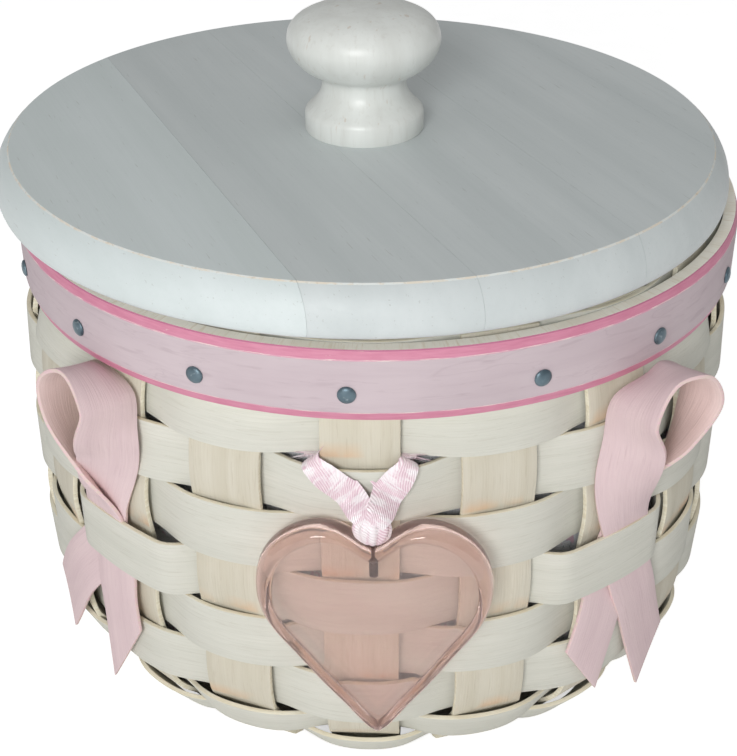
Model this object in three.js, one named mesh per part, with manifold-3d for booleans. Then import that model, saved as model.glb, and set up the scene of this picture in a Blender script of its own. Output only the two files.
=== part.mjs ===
// Round woven splint basket with a wooden lid, a turned knob, a tacked trim band, two ribbon loops of
// splint on the wall, a cloth lining, and a glass heart that hangs in front on a satin tie.
// Millimetres, +Z up. The origin is the middle of the underside, and the front looks along -Y.

import * as THREE from "three";
import { mergeVertices } from "three/addons/utils/BufferGeometryUtils.js";
import Module from "manifold-3d";

const wasm = await Module();
wasm.setup();

const DEG = Math.PI / 180;

// Clearance between pieces that touch, and between boards that are glued
const SEAT_GAP = 0.3;
const GLUE_GAP = 0.05;

// Woven wall: 18 uprights, which are 9 long splints that cross under the floor
const SPLINT_THICKNESS = 1.5;
const UPRIGHT_WIDTH = 17.5;
const LONG_SPLINTS = 9;
const UPRIGHT_STEP = 180 / LONG_SPLINTS;
const RIM_RADIUS = 85.6;
const FLOOR_SPLINT_THICKNESS = 0.9;
const FLOOR_CROSSING_RADIUS = 21;
const FLOOR_SIDE_GAP = 0.5;
const FOOT_FOLD_HEIGHT = 1.2;
const FOOT_FOLD_RADIUS = 1.2;
const FLOOR_START = 3;

// Weavers, from the hidden one behind the trim band down to the foot. The lean is how far the wall
// turns in towards the floor over that weaver, in degrees.
const WEAVER_WIDTH = 15.3;
const RIM_WEAVER_WIDTH = 13.5;
const FOOT_WEAVER_WIDTH = 11.1;
const LOWEST_WEAVER_FOOT = 2.6;
const WEAVER_ROWS = [
  { width: RIM_WEAVER_WIDTH, lean: 0 },
  { width: WEAVER_WIDTH, lean: -2.6 },
  { width: WEAVER_WIDTH, lean: -2.4 },
  { width: WEAVER_WIDTH, lean: -1.0 },
  { width: WEAVER_WIDTH, lean: 0.2 },
  { width: WEAVER_WIDTH, lean: 1.0 },
  { width: WEAVER_WIDTH, lean: 3.2 },
  { width: FOOT_WEAVER_WIDTH, lean: 26 },
  { width: FOOT_WEAVER_WIDTH, lean: 34 },
];
const WEAVER_TRIM = 0.25;
const WEAVE_DEPTH = 3.1;
const RIM_WEAVE_DEPTH = 2.5;
const WAVE_FLATNESS = 1.4;
const STEPS_PER_WAVE = 8;

// Hoops that the rim is nailed between. The inner one stands up past the rim and carries the lid.
const TRIM_BAND_HEIGHT = 17;
const TRIM_BAND_THICKNESS = 2.1;
const TRIM_BEVEL_HEIGHT = 2.3;
const TRIM_BEVEL_DEPTH = 0.85;
const INNER_BAND_RISE = 4;
const INNER_BAND_HEIGHT = 23;
const INNER_BAND_THICKNESS = 2.5;
const HOOP_STEPS = 60;

// Tacks, set by hand, so the ones in front stray a little from even steps
const TACK_COUNT = 16;
const TACK_HEAD_RADIUS = 2;
const TACK_HEAD_HEIGHT = 0.9;
const TACK_SHANK_RADIUS = 0.7;
const TACK_HOLE_RADIUS = 0.95;
const TACK_SIDES = 6;
const TACK_DROP = 10.3;
const FIRST_TACK_ANGLE = -67.5;
const TACK_STRAY = [0.5, 0.2, -0.1, -1.5, 2.4, 0.6, 1];

// Lid of edge-glued boards. It was turned round, and has shrunk a little across its grain. The seams
// lie at shares of its half width from the middle.
const LID_OVERHANG = 2.7;
const LID_SHRINKAGE = 0.034;
const LID_THICKNESS = 11;
const LID_TOP_TURN_IN = 4;
const LID_EDGE_WIDEST = 2.6;
const LID_FOOT_ROUND = 1.2;
const LID_SHOULDER_TURN = 68;
const LID_SHIFT = new THREE.Vector2(-4.3, -1.4);
const LID_GRAIN_ANGLE = -64;
const BOARD_SEAMS = [-0.504, -0.134, 0.308, 0.769];
const LID_STEPS = 48;
const SEAT_PLATE_THICKNESS = 6;
const SEAT_PLATE_PLAY = 4.9;

// Turned knob and its screw, which sit a little in front of the lid's middle
const KNOB_OFFSET = new THREE.Vector2(1.4, -3.7);
const KNOB_RADIUS = 18.8;
const KNOB_HEIGHT = 31;
const KNOB_FOOT_RADIUS = 14.8;
const KNOB_NECK_RADIUS = 10.4;
const SCREW_SHANK_RADIUS = 2.1;
const SCREW_HEAD_RADIUS = 4.2;
const SCREW_HEAD_HEIGHT = 2.6;
const SCREW_DEPTH_IN_KNOB = 14;
const SCREW_HOLE_PLAY = 0.35;
const SCREW_STEPS = 10;

// Splint ribbons: loops with two tails, tucked under one weaver of the wall
const RIBBON_WIDTH = 14.5;
const RIBBON_THICKNESS = 0.9;
const RIBBON_ROW = 4;
const RIBBON_ROW_BULGE = 2.3;
const RIBBON_ROW_OUT = 12.7;
const RIBBON_ROW_BACK = 14.6;
const RIBBON_STEPS_PER_POINT = 3;
const RIBBON_ANGLE = 2 * UPRIGHT_STEP;

// Satin tie and glass heart
const SATIN_WIDTH = 4.6;
const SATIN_THICKNESS = 0.5;
const GATHERED_WIDTH = 2.4;
const TIE_ROW = 2;
const STRAND_FOOT_APART = 1.2;
const GATHERED_END_WIDTH = 8.4;
const GATHERED_END_DEPTH = 4.2;
const GATHERED_END_HEIGHT = 7.4;
const TIE_STEPS = 12;
const HEART_WIDTH = 53;
const HEART_HEIGHT = 60.3;
const HEART_THICKNESS = 7;
const HEART_RIM_SHARE = 0.16;
const HEART_CLEFT = 0.894;
const HEART_TIP_HEIGHT = 26.2;
const HEART_STEPS = 18;
const HEART_FACE_DEPTH = 1.6;
const HEART_X = 3;
const EYELET_WIRE_RADIUS = 0.6;
const EYELET_RING_RADIUS = 2.2;
const EYELET_PIN_LENGTH = 8;
const EYELET_FOOT_RADIUS = 1.05;

// Cloth lining
const LINING_THICKNESS = 0.7;
const LINING_FOOT_DRAW = 2.6;
const LINING_FLOOR_DRAW = 2.2;
const LINING_STEPS = 30;

const basket = new THREE.Group();

function finish(color, roughness, metalness = 0) {
  return new THREE.MeshStandardMaterial({ color, roughness, metalness });
}

function addPiece(name, geometry, material) {
  const mesh = new THREE.Mesh(geometry, material);
  mesh.name = name;
  basket.add(mesh);
  return mesh;
}

// A closed body swept through cross-sections. Each is a loop of points that runs counterclockwise
// for someone who stands ahead and looks back along the sweep.
function sweptBody(sections, closed) {
  const count = sections.length;
  const size = sections[0].length;
  const positions = sections.flat().flatMap((p) => [p.x, p.y, p.z]);
  const index = [];
  const strips = closed ? count : count - 1;
  for (let i = 0; i < strips; i++) {
    const here = i * size;
    const next = ((i + 1) % count) * size;
    for (let j = 0; j < size; j++) {
      const k = (j + 1) % size;
      index.push(here + j, here + k, next + k);
      index.push(here + j, next + k, next + j);
    }
  }
  if (!closed) {
    const last = (count - 1) * size;
    for (let j = 1; j < size - 1; j++) {
      index.push(0, j + 1, j);
      index.push(last, last + j, last + j + 1);
    }
  }
  const geometry = new THREE.BufferGeometry();
  geometry.setAttribute("position", new THREE.Float32BufferAttribute(positions, 3));
  geometry.setIndex(index);
  geometry.computeVertexNormals();
  return geometry;
}

// A flat strip bent along a path. Each station has its middle point, the unit directions across the
// strip and out of its face, and its width and thickness; skew slides its two edges along the path.
function stripBody(stations) {
  const sections = stations.map(({ middle, across, face, width, thickness, skew = 0 }) => {
    const along = new THREE.Vector3().crossVectors(across, face);
    const corner = (side, layer) =>
      middle
        .clone()
        .addScaledVector(across, (side * width) / 2)
        .addScaledVector(face, (layer * thickness) / 2)
        .addScaledVector(along, (side * skew) / 2);
    return [corner(-1, 1), corner(-1, -1), corner(1, -1), corner(1, 1)];
  });
  return sweptBody(sections, false);
}

function solidOf(geometry) {
  const bare = geometry.clone();
  bare.deleteAttribute("normal");
  bare.deleteAttribute("uv");
  const merged = mergeVertices(bare, 1e-4);
  return new wasm.Manifold(
    new wasm.Mesh({
      numProp: 3,
      vertProperties: merged.attributes.position.array,
      triVerts: new Uint32Array(merged.index.array),
    }),
  );
}

function geometryOf(solid) {
  const mesh = solid.getMesh();
  const geometry = new THREE.BufferGeometry();
  geometry.setAttribute("position", new THREE.Float32BufferAttribute(mesh.vertProperties, 3));
  geometry.setIndex(new THREE.BufferAttribute(mesh.triVerts, 1));
  geometry.computeVertexNormals();
  return geometry;
}

function turned(profile, steps) {
  const geometry = new THREE.LatheGeometry(profile, steps);
  geometry.rotateX(Math.PI / 2);
  return geometry;
}

function uprightCylinder(radius, low, high, steps) {
  const geometry = new THREE.CylinderGeometry(radius, radius, high - low, steps);
  geometry.rotateX(Math.PI / 2);
  geometry.translate(0, 0, (low + high) / 2);
  return geometry;
}

// A point at an angle round the basket: 0 is the front, and it grows to the right.
function around(angle, radius, height, sideways = 0) {
  const turn = angle * DEG;
  return new THREE.Vector3(
    radius * Math.sin(turn) + sideways * Math.cos(turn),
    -radius * Math.cos(turn) + sideways * Math.sin(turn),
    height,
  );
}

// The weavers stand one on the other, from the lowest one's foot up to the rim.
const rimHeight = WEAVER_ROWS.reduce(
  (height, row) => height + row.width * Math.cos(row.lean * DEG),
  LOWEST_WEAVER_FOOT,
);

// The wall's middle line, from the rim down: one straight run for each weaver.
const wallKnots = [{ r: RIM_RADIUS, z: rimHeight }];
for (const row of WEAVER_ROWS) {
  const above = wallKnots[wallKnots.length - 1];
  wallKnots.push({
    r: above.r - row.width * Math.sin(row.lean * DEG),
    z: above.z - row.width * Math.cos(row.lean * DEG),
  });
}
const footKnot = wallKnots[wallKnots.length - 1];

function wallRadiusAt(height) {
  for (let i = 1; i < wallKnots.length; i++) {
    const above = wallKnots[i - 1];
    const below = wallKnots[i];
    if (height >= below.z) {
      const share = (above.z - height) / (above.z - below.z);
      return above.r + share * (below.r - above.r);
    }
  }
  return footKnot.r;
}

// The weave runs from -1 behind an upright to 1 in front of it.
function weaveWave(angle, row) {
  const inFront = row % 2 === 0 ? 1 : -1;
  const wave = Math.cos((angle * Math.PI) / UPRIGHT_STEP);
  return inFront * THREE.MathUtils.clamp(WAVE_FLATNESS * wave, -1, 1);
}

// The weave is pressed flatter between the rim's bands, and has its full depth below them.
function weaveDepthAt(height) {
  const belowBand = THREE.MathUtils.clamp((wallKnots[1].z - height) / WEAVER_ROWS[1].width, 0, 1);
  return RIM_WEAVE_DEPTH + belowBand * (WEAVE_DEPTH - RIM_WEAVE_DEPTH);
}

// How far a weaver stands out from the wall's middle line. The one over the ribbon tails stays out
// past their edges, and goes back just before the next upright.
function weaverOffset(angle, row, height) {
  const woven = weaveDepthAt(height) * weaveWave(angle, row);
  if (row !== RIBBON_ROW) return woven;
  const off = Math.abs(Math.abs(angle) - RIBBON_ANGLE);
  const back = THREE.MathUtils.smoothstep(off, RIBBON_ROW_OUT, RIBBON_ROW_BACK);
  return THREE.MathUtils.lerp(WEAVE_DEPTH + RIBBON_ROW_BULGE, woven, back);
}

// The angles at which a weaver is bent, wave by wave
function bendsOf(row) {
  const wave = 2 * UPRIGHT_STEP;
  const even = Array.from({ length: STEPS_PER_WAVE }, (_, i) => (wave * i) / STEPS_PER_WAVE);
  const half = RIBBON_ROW_OUT / 2;
  const overRibbon = [-RIBBON_ROW_BACK, -RIBBON_ROW_OUT, -half, 0, half, RIBBON_ROW_OUT, RIBBON_ROW_BACK];
  const bends = [];
  for (let start = -180; start < 180; start += wave) {
    const middle = start + UPRIGHT_STEP;
    const aroundRibbon = row === RIBBON_ROW && Math.abs(middle) === RIBBON_ANGLE;
    if (aroundRibbon) bends.push(start, ...overRibbon.map((off) => middle + off));
    else bends.push(...even.map((off) => start + off));
  }
  return bends;
}

function weaverBody(row) {
  const { lean } = WEAVER_ROWS[row];
  const above = wallKnots[row];
  const below = wallKnots[row + 1];
  const fold = row === 0 ? 0 : Math.abs(lean - WEAVER_ROWS[row - 1].lean);
  const trimAbove = (row === 0 ? 0 : WEAVER_TRIM) + SPLINT_THICKNESS * Math.sin(fold * DEG);
  const along = new THREE.Vector2(-Math.sin(lean * DEG), -Math.cos(lean * DEG));
  const out = new THREE.Vector2(Math.cos(lean * DEG), -Math.sin(lean * DEG));
  const top = new THREE.Vector2(above.r, above.z).addScaledVector(along, trimAbove);
  const foot = new THREE.Vector2(below.r, below.z).addScaledVector(along, -WEAVER_TRIM);
  const sections = bendsOf(row).map((angle) => {
    const corner = (edge, side) => {
      const offset = weaverOffset(angle, row, edge.y) + (side * SPLINT_THICKNESS) / 2;
      const p = edge.clone().addScaledVector(out, offset);
      return around(angle, p.x, p.y);
    };
    return [corner(top, 1), corner(foot, 1), corner(foot, -1), corner(top, -1)];
  });
  return sweptBody(sections, true);
}

// One long splint: up one side, across the floor, and up the other. It narrows like an hourglass
// towards the middle, where all of them are shaved thinner and lie one on the other.
function longSplintBody(layer) {
  const angle = layer * UPRIGHT_STEP;
  const halfStep = (UPRIGHT_STEP / 2) * DEG;
  const widthAt = (r) => Math.min(UPRIGHT_WIDTH, 2 * r * Math.tan(halfStep) - FLOOR_SIDE_GAP);
  const thin = FLOOR_SPLINT_THICKNESS;
  const wall = wallKnots.map((knot, i) => {
    const a = wallKnots[Math.max(i - 1, 0)];
    const b = wallKnots[Math.min(i + 1, wallKnots.length - 1)];
    const down = new THREE.Vector2(b.r - a.r, b.z - a.z).normalize();
    return { r: knot.r, z: knot.z, out: [-down.y, down.x], thickness: SPLINT_THICKNESS };
  });
  const onFloor = (r, bottom, thickness) => ({ r, z: bottom + thickness / 2, out: [0, -1], thickness });
  const half = [
    ...wall,
    {
      r: footKnot.r - FOOT_FOLD_RADIUS,
      z: FOOT_FOLD_HEIGHT,
      out: [0.45, -0.893],
      thickness: SPLINT_THICKNESS,
    },
    onFloor(footKnot.r - FLOOR_START, 0, SPLINT_THICKNESS),
    onFloor(2.45 * FLOOR_CROSSING_RADIUS, 0, SPLINT_THICKNESS),
    onFloor(1.75 * FLOOR_CROSSING_RADIUS, 0, SPLINT_THICKNESS),
    onFloor(FLOOR_CROSSING_RADIUS, layer * thin, thin),
  ];
  const across = around(angle, 0, 0, 1);
  const station = (spot, side) => ({
    middle: around(angle, side * spot.r, spot.z),
    across,
    face: around(angle, side * spot.out[0], spot.out[1]),
    width: widthAt(spot.r),
    thickness: spot.thickness,
  });
  return stripBody([
    ...half.map((spot) => station(spot, 1)),
    ...half.reverse().map((spot) => station(spot, -1)),
  ]);
}

// A hoop whose cross-section is a loop of [radius, height] points, clockwise where the radius grows
// to the right
function hoopBody(profile, steps) {
  const sections = [];
  for (let i = 0; i < steps; i++) {
    const angle = (360 * i) / steps;
    sections.push(profile.map(([r, z]) => around(angle, r, z)));
  }
  return sweptBody(sections, true);
}

// Heights and radii that several pieces share
const trimFoot = rimHeight - TRIM_BAND_HEIGHT;
const innerBandTop = rimHeight + INNER_BAND_RISE;
const innerBandFoot = innerBandTop - INNER_BAND_HEIGHT;
const weaveHalfDepth = weaveDepthAt(trimFoot) + SPLINT_THICKNESS / 2 + SEAT_GAP;
const trimInner = wallRadiusAt(trimFoot) + weaveHalfDepth;
const trimOuter = trimInner + TRIM_BAND_THICKNESS;
const innerBandOuter = RIM_RADIUS - weaveHalfDepth;
const innerBandInner = innerBandOuter - INNER_BAND_THICKNESS;
const lidRadius = trimOuter + LID_OVERHANG;
const lidHalfWidth = lidRadius * (1 - LID_SHRINKAGE);
const lidFoot = innerBandTop + SEAT_GAP;
const lidTop = lidFoot + LID_THICKNESS;
const seatPlateFoot = lidFoot - SEAT_PLATE_THICKNESS;
const screwHole = SCREW_SHANK_RADIUS + SCREW_HOLE_PLAY;

// Finishes
const whiteSplint = finish(0xd3d3c8, 0.8);
const upright = finish(0xccc6b4, 0.82);
const rimPink = finish(0xd8b9c6, 0.75);
const ribbonPink = finish(0xd9bcc4, 0.78);
const lidWhite = finish(0xa9b2b4, 0.5);
const knobWhite = finish(0xd6d4cc, 0.5);
const tackSteel = finish(0x55636d, 0.45, 0.7);
const screwSteel = finish(0x9a9a96, 0.4, 0.9);
const satin = finish(0xecc8dc, 0.35);
const roseGlass = finish(0xd6a89c, 0.06);
const wireSteel = finish(0x6d6a68, 0.35, 0.9);
const liningCloth = finish(0xdcdcdc, 0.9);

// Woven wall and floor
for (let layer = 0; layer < LONG_SPLINTS; layer++) {
  addPiece("long_splint_" + (layer + 1), longSplintBody(layer), upright);
}
WEAVER_ROWS.forEach((row, i) => addPiece("weaver_" + (i + 1), weaverBody(i), whiteSplint));

// Rim: the trim band outside, the plain band inside, and the tacks through the trim band
const tackAngles = [];
for (let i = 0; i < TACK_COUNT; i++) {
  tackAngles.push(FIRST_TACK_ANGLE + (360 * i) / TACK_COUNT + (TACK_STRAY[i] ?? 0));
}

// Turns a piece made along +Y so that it points out of the wall at an angle.
function pointOutwards(geometry, angle, radius, height) {
  geometry.rotateZ(Math.PI + angle * DEG);
  const place = around(angle, radius, height);
  geometry.translate(place.x, place.y, place.z);
  return geometry;
}

function trimBandBody() {
  const bevelRadius = trimOuter - TRIM_BEVEL_DEPTH;
  const hoop = hoopBody(
    [
      [trimInner, rimHeight],
      [bevelRadius, rimHeight],
      [trimOuter, rimHeight - TRIM_BEVEL_HEIGHT],
      [trimOuter, trimFoot + TRIM_BEVEL_HEIGHT],
      [bevelRadius, trimFoot],
      [trimInner, trimFoot],
    ],
    HOOP_STEPS,
  );
  let solid = solidOf(hoop);
  for (const angle of tackAngles) {
    const length = 4 * TRIM_BAND_THICKNESS;
    const hole = new THREE.CylinderGeometry(TACK_HOLE_RADIUS, TACK_HOLE_RADIUS, length, TACK_SIDES);
    pointOutwards(hole, angle, (trimInner + trimOuter) / 2, rimHeight - TACK_DROP);
    solid = solid.subtract(solidOf(hole));
  }
  return geometryOf(solid);
}

function innerBandBody() {
  return hoopBody(
    [
      [innerBandInner, innerBandTop],
      [innerBandOuter, innerBandTop],
      [innerBandOuter, innerBandFoot],
      [innerBandInner, innerBandFoot],
    ],
    HOOP_STEPS,
  );
}

function tackBody(angle) {
  const profile = [
    new THREE.Vector2(0, -TRIM_BAND_THICKNESS),
    new THREE.Vector2(TACK_SHANK_RADIUS, -TRIM_BAND_THICKNESS),
    new THREE.Vector2(TACK_SHANK_RADIUS, 0),
    new THREE.Vector2(TACK_HEAD_RADIUS, 0),
    new THREE.Vector2(0.75 * TACK_HEAD_RADIUS, 0.75 * TACK_HEAD_HEIGHT),
    new THREE.Vector2(0, TACK_HEAD_HEIGHT),
  ];
  const tack = new THREE.LatheGeometry(profile, TACK_SIDES);
  return pointOutwards(tack, angle, trimOuter + GLUE_GAP, rimHeight - TACK_DROP);
}

addPiece("trim_band", trimBandBody(), rimPink);
addPiece("inner_band", innerBandBody(), whiteSplint);
tackAngles.forEach((angle, i) => addPiece("tack_" + (i + 1), tackBody(angle), tackSteel));

// Lid: a turned board, glued from five and cut here along its seams, on a plate that drops inside
// the inner band. The lid lies a little off the middle, as far as the plate's play lets it.
function lidDisc() {
  const profile = [new THREE.Vector2(0, 0)];
  const arcPoints = 4;
  for (let i = 0; i <= arcPoints; i++) {
    const turn = ((i / arcPoints) * Math.PI) / 2;
    profile.push(
      new THREE.Vector2(
        lidRadius - LID_FOOT_ROUND * (1 - Math.sin(turn)),
        LID_EDGE_WIDEST * (1 - Math.cos(turn)),
      ),
    );
  }
  for (let i = 1; i <= arcPoints; i++) {
    const turn = (i / arcPoints) * LID_SHOULDER_TURN * DEG;
    const inwards = (1 - Math.cos(turn)) / (1 - Math.cos(LID_SHOULDER_TURN * DEG));
    const upwards = Math.sin(turn) / Math.sin(LID_SHOULDER_TURN * DEG);
    profile.push(
      new THREE.Vector2(
        lidRadius - LID_TOP_TURN_IN * inwards,
        LID_EDGE_WIDEST + (LID_THICKNESS - LID_EDGE_WIDEST) * upwards,
      ),
    );
  }
  profile.push(new THREE.Vector2(0, LID_THICKNESS));
  return turned(profile, LID_STEPS);
}

function placeOnLid(geometry, height) {
  return geometry.translate(LID_SHIFT.x, LID_SHIFT.y, height);
}

// Takes the screw's hole out of a disc that lies on the origin.
function drillForScrew(disc, thickness) {
  const hole = uprightCylinder(screwHole, -thickness, 2 * thickness, SCREW_STEPS);
  hole.translate(KNOB_OFFSET.x, KNOB_OFFSET.y, 0);
  return solidOf(disc).subtract(solidOf(hole));
}

const shrunkDisc = lidDisc().scale(1, 1 - LID_SHRINKAGE, 1).rotateZ(LID_GRAIN_ANGLE * DEG);
const wholeLid = drillForScrew(shrunkDisc, LID_THICKNESS);
const seams = [-2, ...BOARD_SEAMS, 2].map((share) => share * lidHalfWidth);
for (let i = 0; i < seams.length - 1; i++) {
  const width = seams[i + 1] - seams[i] - GLUE_GAP;
  const slab = new THREE.BoxGeometry(4 * lidRadius, width, 4 * LID_THICKNESS);
  slab.translate(0, (seams[i] + seams[i + 1]) / 2, 0);
  slab.rotateZ(LID_GRAIN_ANGLE * DEG);
  const board = geometryOf(wholeLid.intersect(solidOf(slab)));
  addPiece("lid_board_" + (i + 1), placeOnLid(board, lidFoot), lidWhite);
}

const plateRadius = innerBandInner - SEAT_PLATE_PLAY;
const plateDisc = uprightCylinder(plateRadius, 0, SEAT_PLATE_THICKNESS, LID_STEPS);
const seatPlate = geometryOf(drillForScrew(plateDisc, SEAT_PLATE_THICKNESS));
addPiece("lid_seat_plate", placeOnLid(seatPlate, seatPlateFoot), lidWhite);

function placeUnderKnob(geometry, height) {
  return placeOnLid(geometry, height).translate(KNOB_OFFSET.x, KNOB_OFFSET.y, 0);
}

// Knob: a mushroom on a short neck and a stepped foot, with a blind hole for the screw
function knobBody() {
  const outline = [
    [KNOB_FOOT_RADIUS, 0],
    [KNOB_FOOT_RADIUS, 0.15],
    [0.95 * KNOB_FOOT_RADIUS, 0.19],
    [1.17 * KNOB_NECK_RADIUS, 0.245],
    [KNOB_NECK_RADIUS, 0.34],
    [1.04 * KNOB_NECK_RADIUS, 0.43],
    [0.71 * KNOB_RADIUS, 0.485],
    [0.92 * KNOB_RADIUS, 0.59],
    [KNOB_RADIUS, 0.73],
    [0.975 * KNOB_RADIUS, 0.81],
    [0.88 * KNOB_RADIUS, 0.885],
    [0.68 * KNOB_RADIUS, 0.95],
    [0.38 * KNOB_RADIUS, 0.99],
    [0, 1],
  ];
  const profile = [
    new THREE.Vector2(0, SCREW_DEPTH_IN_KNOB + SCREW_HOLE_PLAY),
    new THREE.Vector2(screwHole, SCREW_DEPTH_IN_KNOB + SCREW_HOLE_PLAY),
    new THREE.Vector2(screwHole, 0),
    ...outline.map(([r, share]) => new THREE.Vector2(r, share * KNOB_HEIGHT)),
  ];
  return turned(profile, 2 * SCREW_STEPS);
}
addPiece("knob", placeUnderKnob(knobBody(), lidTop), knobWhite);

function screwBody() {
  const length = SEAT_PLATE_THICKNESS + LID_THICKNESS + SCREW_DEPTH_IN_KNOB;
  return turned(
    [
      new THREE.Vector2(0, -SCREW_HEAD_HEIGHT),
      new THREE.Vector2(0.75 * SCREW_HEAD_RADIUS, -SCREW_HEAD_HEIGHT),
      new THREE.Vector2(SCREW_HEAD_RADIUS, -0.6 * SCREW_HEAD_HEIGHT),
      new THREE.Vector2(SCREW_HEAD_RADIUS, 0),
      new THREE.Vector2(SCREW_SHANK_RADIUS, 0),
      new THREE.Vector2(SCREW_SHANK_RADIUS, length - 2 * SCREW_SHANK_RADIUS),
      new THREE.Vector2(0, length),
    ],
    SCREW_STEPS,
  );
}
addPiece("knob_screw", placeUnderKnob(screwBody(), seatPlateFoot), screwSteel);

// Splint ribbon: a loop over two crossed tails. The strip lies flat on the wall where the tails
// cross behind a weaver, and turns edge-on to the wall as it climbs, so the loop stands out.
// A route runs from one tail's end, up, round the loop, and down to the other tail's end. Each point
// is [sideways along the wall, height, distance out from the wall's middle line, turn of the strip
// out of the wall in degrees]. The cuts say how far each tail's outer edge stops before its inner edge.
const RIBBONS = [
  {
    name: "ribbon_loop_left",
    angle: -RIBBON_ANGLE,
    cuts: [10, 22],
    route: [
      [-27.5, 26.5, 6.6, 0],
      [-18.4, 42, 5.1, 0],
      [-8.2, 56, 2, 0],
      [-5.5, 65, 2.1, 0],
      [-3.5, 74, 4.3, 12],
      [2.8, 88.4, 8.1, 28],
      [6.9, 97.3, 11.2, 56],
      [7.3, 105.5, 11, 86],
      [0.2, 110.4, 10.1, 111],
      [-7, 107.5, 10.4, 92],
      [-9.1, 97.8, 9.9, 66],
      [-7.4, 83, 7.1, 36],
      [-4.8, 67, 3.5, 1],
      [-2.5, 57, 3.5, 0],
      [-2.6, 45, 4.3, 0],
      [-2.2, 34, 5.3, 0],
      [-1.7, 24, 6.2, 0],
    ],
  },
  {
    name: "ribbon_loop_right",
    angle: RIBBON_ANGLE,
    cuts: [12, 10],
    route: [
      [-7.8, 28.4, 5.8, 0],
      [-3, 43.7, 3.8, 0],
      [0, 54, 2.1, 0],
      [2.5, 65, 2.1, 1],
      [6.7, 78.7, 6.3, 30],
      [10.4, 95, 12.9, 53],
      [10.6, 107.5, 16.1, 74],
      [5.7, 113.5, 15.6, 100],
      [0.8, 112.4, 14.3, 117],
      [-4.8, 106, 12.9, 92],
      [-3.3, 95.7, 11, 60],
      [0.3, 84, 7.3, 24],
      [3.2, 67, 3.5, 1],
      [5, 55.5, 3.6, 0],
      [9.3, 43, 4.1, 0],
      [13.8, 31, 4.7, 0],
      [18.6, 17.5, 7.5, 0],
    ],
  },
];

function ribbonBody({ angle, route, cuts }) {
  const behindWeaver = wallRadiusAt(wallKnots[RIBBON_ROW].z);
  const onRoute = new THREE.CatmullRomCurve3(
    route.map(([along, height, out]) => {
      const offset = along / behindWeaver / DEG;
      return around(angle + offset, wallRadiusAt(height) + out, height);
    }),
    false,
    "centripetal",
  );
  const turns = new THREE.CatmullRomCurve3(
    route.map(([, , , turn]) => new THREE.Vector3(turn * DEG, 0, 0)),
    false,
    "centripetal",
  );
  const steps = (route.length - 1) * RIBBON_STEPS_PER_POINT;
  const stations = [];
  for (let i = 0; i <= steps; i++) {
    const middle = onRoute.getPoint(i / steps);
    const heading = onRoute.getTangent(i / steps);
    const turn = turns.getPoint(i / steps).x;
    const axisOut = new THREE.Vector3(middle.x, middle.y, 0).normalize();
    const onWall = new THREE.Vector3().crossVectors(axisOut, heading).normalize();
    const outwards = new THREE.Vector3().crossVectors(heading, onWall).normalize();
    stations.push({
      middle,
      across: onWall.clone().multiplyScalar(Math.cos(turn)).addScaledVector(outwards, Math.sin(turn)),
      face: outwards.clone().multiplyScalar(Math.cos(turn)).addScaledVector(onWall, -Math.sin(turn)),
      width: RIBBON_WIDTH,
      thickness: RIBBON_THICKNESS,
      skew: i === 0 ? cuts[0] : i === steps ? -cuts[1] : 0,
    });
  }
  return stripBody(stations);
}
for (const ribbon of RIBBONS) addPiece(ribbon.name, ribbonBody(ribbon), ribbonPink);

// Cloth lining: a wall that stops under the inner band, and a round floor
const liningClearance = weaveDepthAt(0) + SPLINT_THICKNESS / 2 + SEAT_GAP;
const floorTop = LONG_SPLINTS * FLOOR_SPLINT_THICKNESS + SEAT_GAP;
function liningWallBody() {
  const outside = [
    [innerBandOuter - SEAT_GAP, innerBandFoot - SEAT_GAP],
    [innerBandOuter - SEAT_GAP, wallKnots[7].z + LINING_FLOOR_DRAW],
    [wallKnots[8].r - liningClearance, wallKnots[8].z + LINING_FLOOR_DRAW],
    [footKnot.r - liningClearance + LINING_FOOT_DRAW, floorTop + LINING_THICKNESS + SEAT_GAP],
  ];
  const inside = outside.map(([r, z]) => [r - LINING_THICKNESS, z]).reverse();
  return hoopBody([...outside, ...inside], LINING_STEPS);
}
addPiece("lining_wall", liningWallBody(), liningCloth);
const liningFloorRadius = footKnot.r - liningClearance + LINING_FLOOR_DRAW;
addPiece(
  "lining_floor",
  uprightCylinder(liningFloorRadius, floorTop, floorTop + LINING_THICKNESS, LINING_STEPS),
  liningCloth,
);

// Satin tie: a fixed part that runs behind the front upright and comes out on both sides of it
// between two weavers, and a moving part: two strands that come together in a gathered end, which
// holds the eyelet of the heart.
const rowUnderTie = wallKnots[TIE_ROW];
const frontOfWeaver = (x, height) => {
  const depth = weaverOffset(Math.asin(x / wallRadiusAt(height)) / DEG, TIE_ROW, height);
  return Math.sqrt((wallRadiusAt(height) + depth + SPLINT_THICKNESS / 2) ** 2 - x * x);
};
const tieSide = UPRIGHT_WIDTH / 2 + GATHERED_WIDTH / 2 + SEAT_GAP;
const hingeHeight = rowUnderTie.z + SATIN_THICKNESS / 2;
const hingeDepth = frontOfWeaver(tieSide - SATIN_WIDTH / 2, rowUnderTie.z) + SEAT_GAP + SATIN_THICKNESS / 2;

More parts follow.
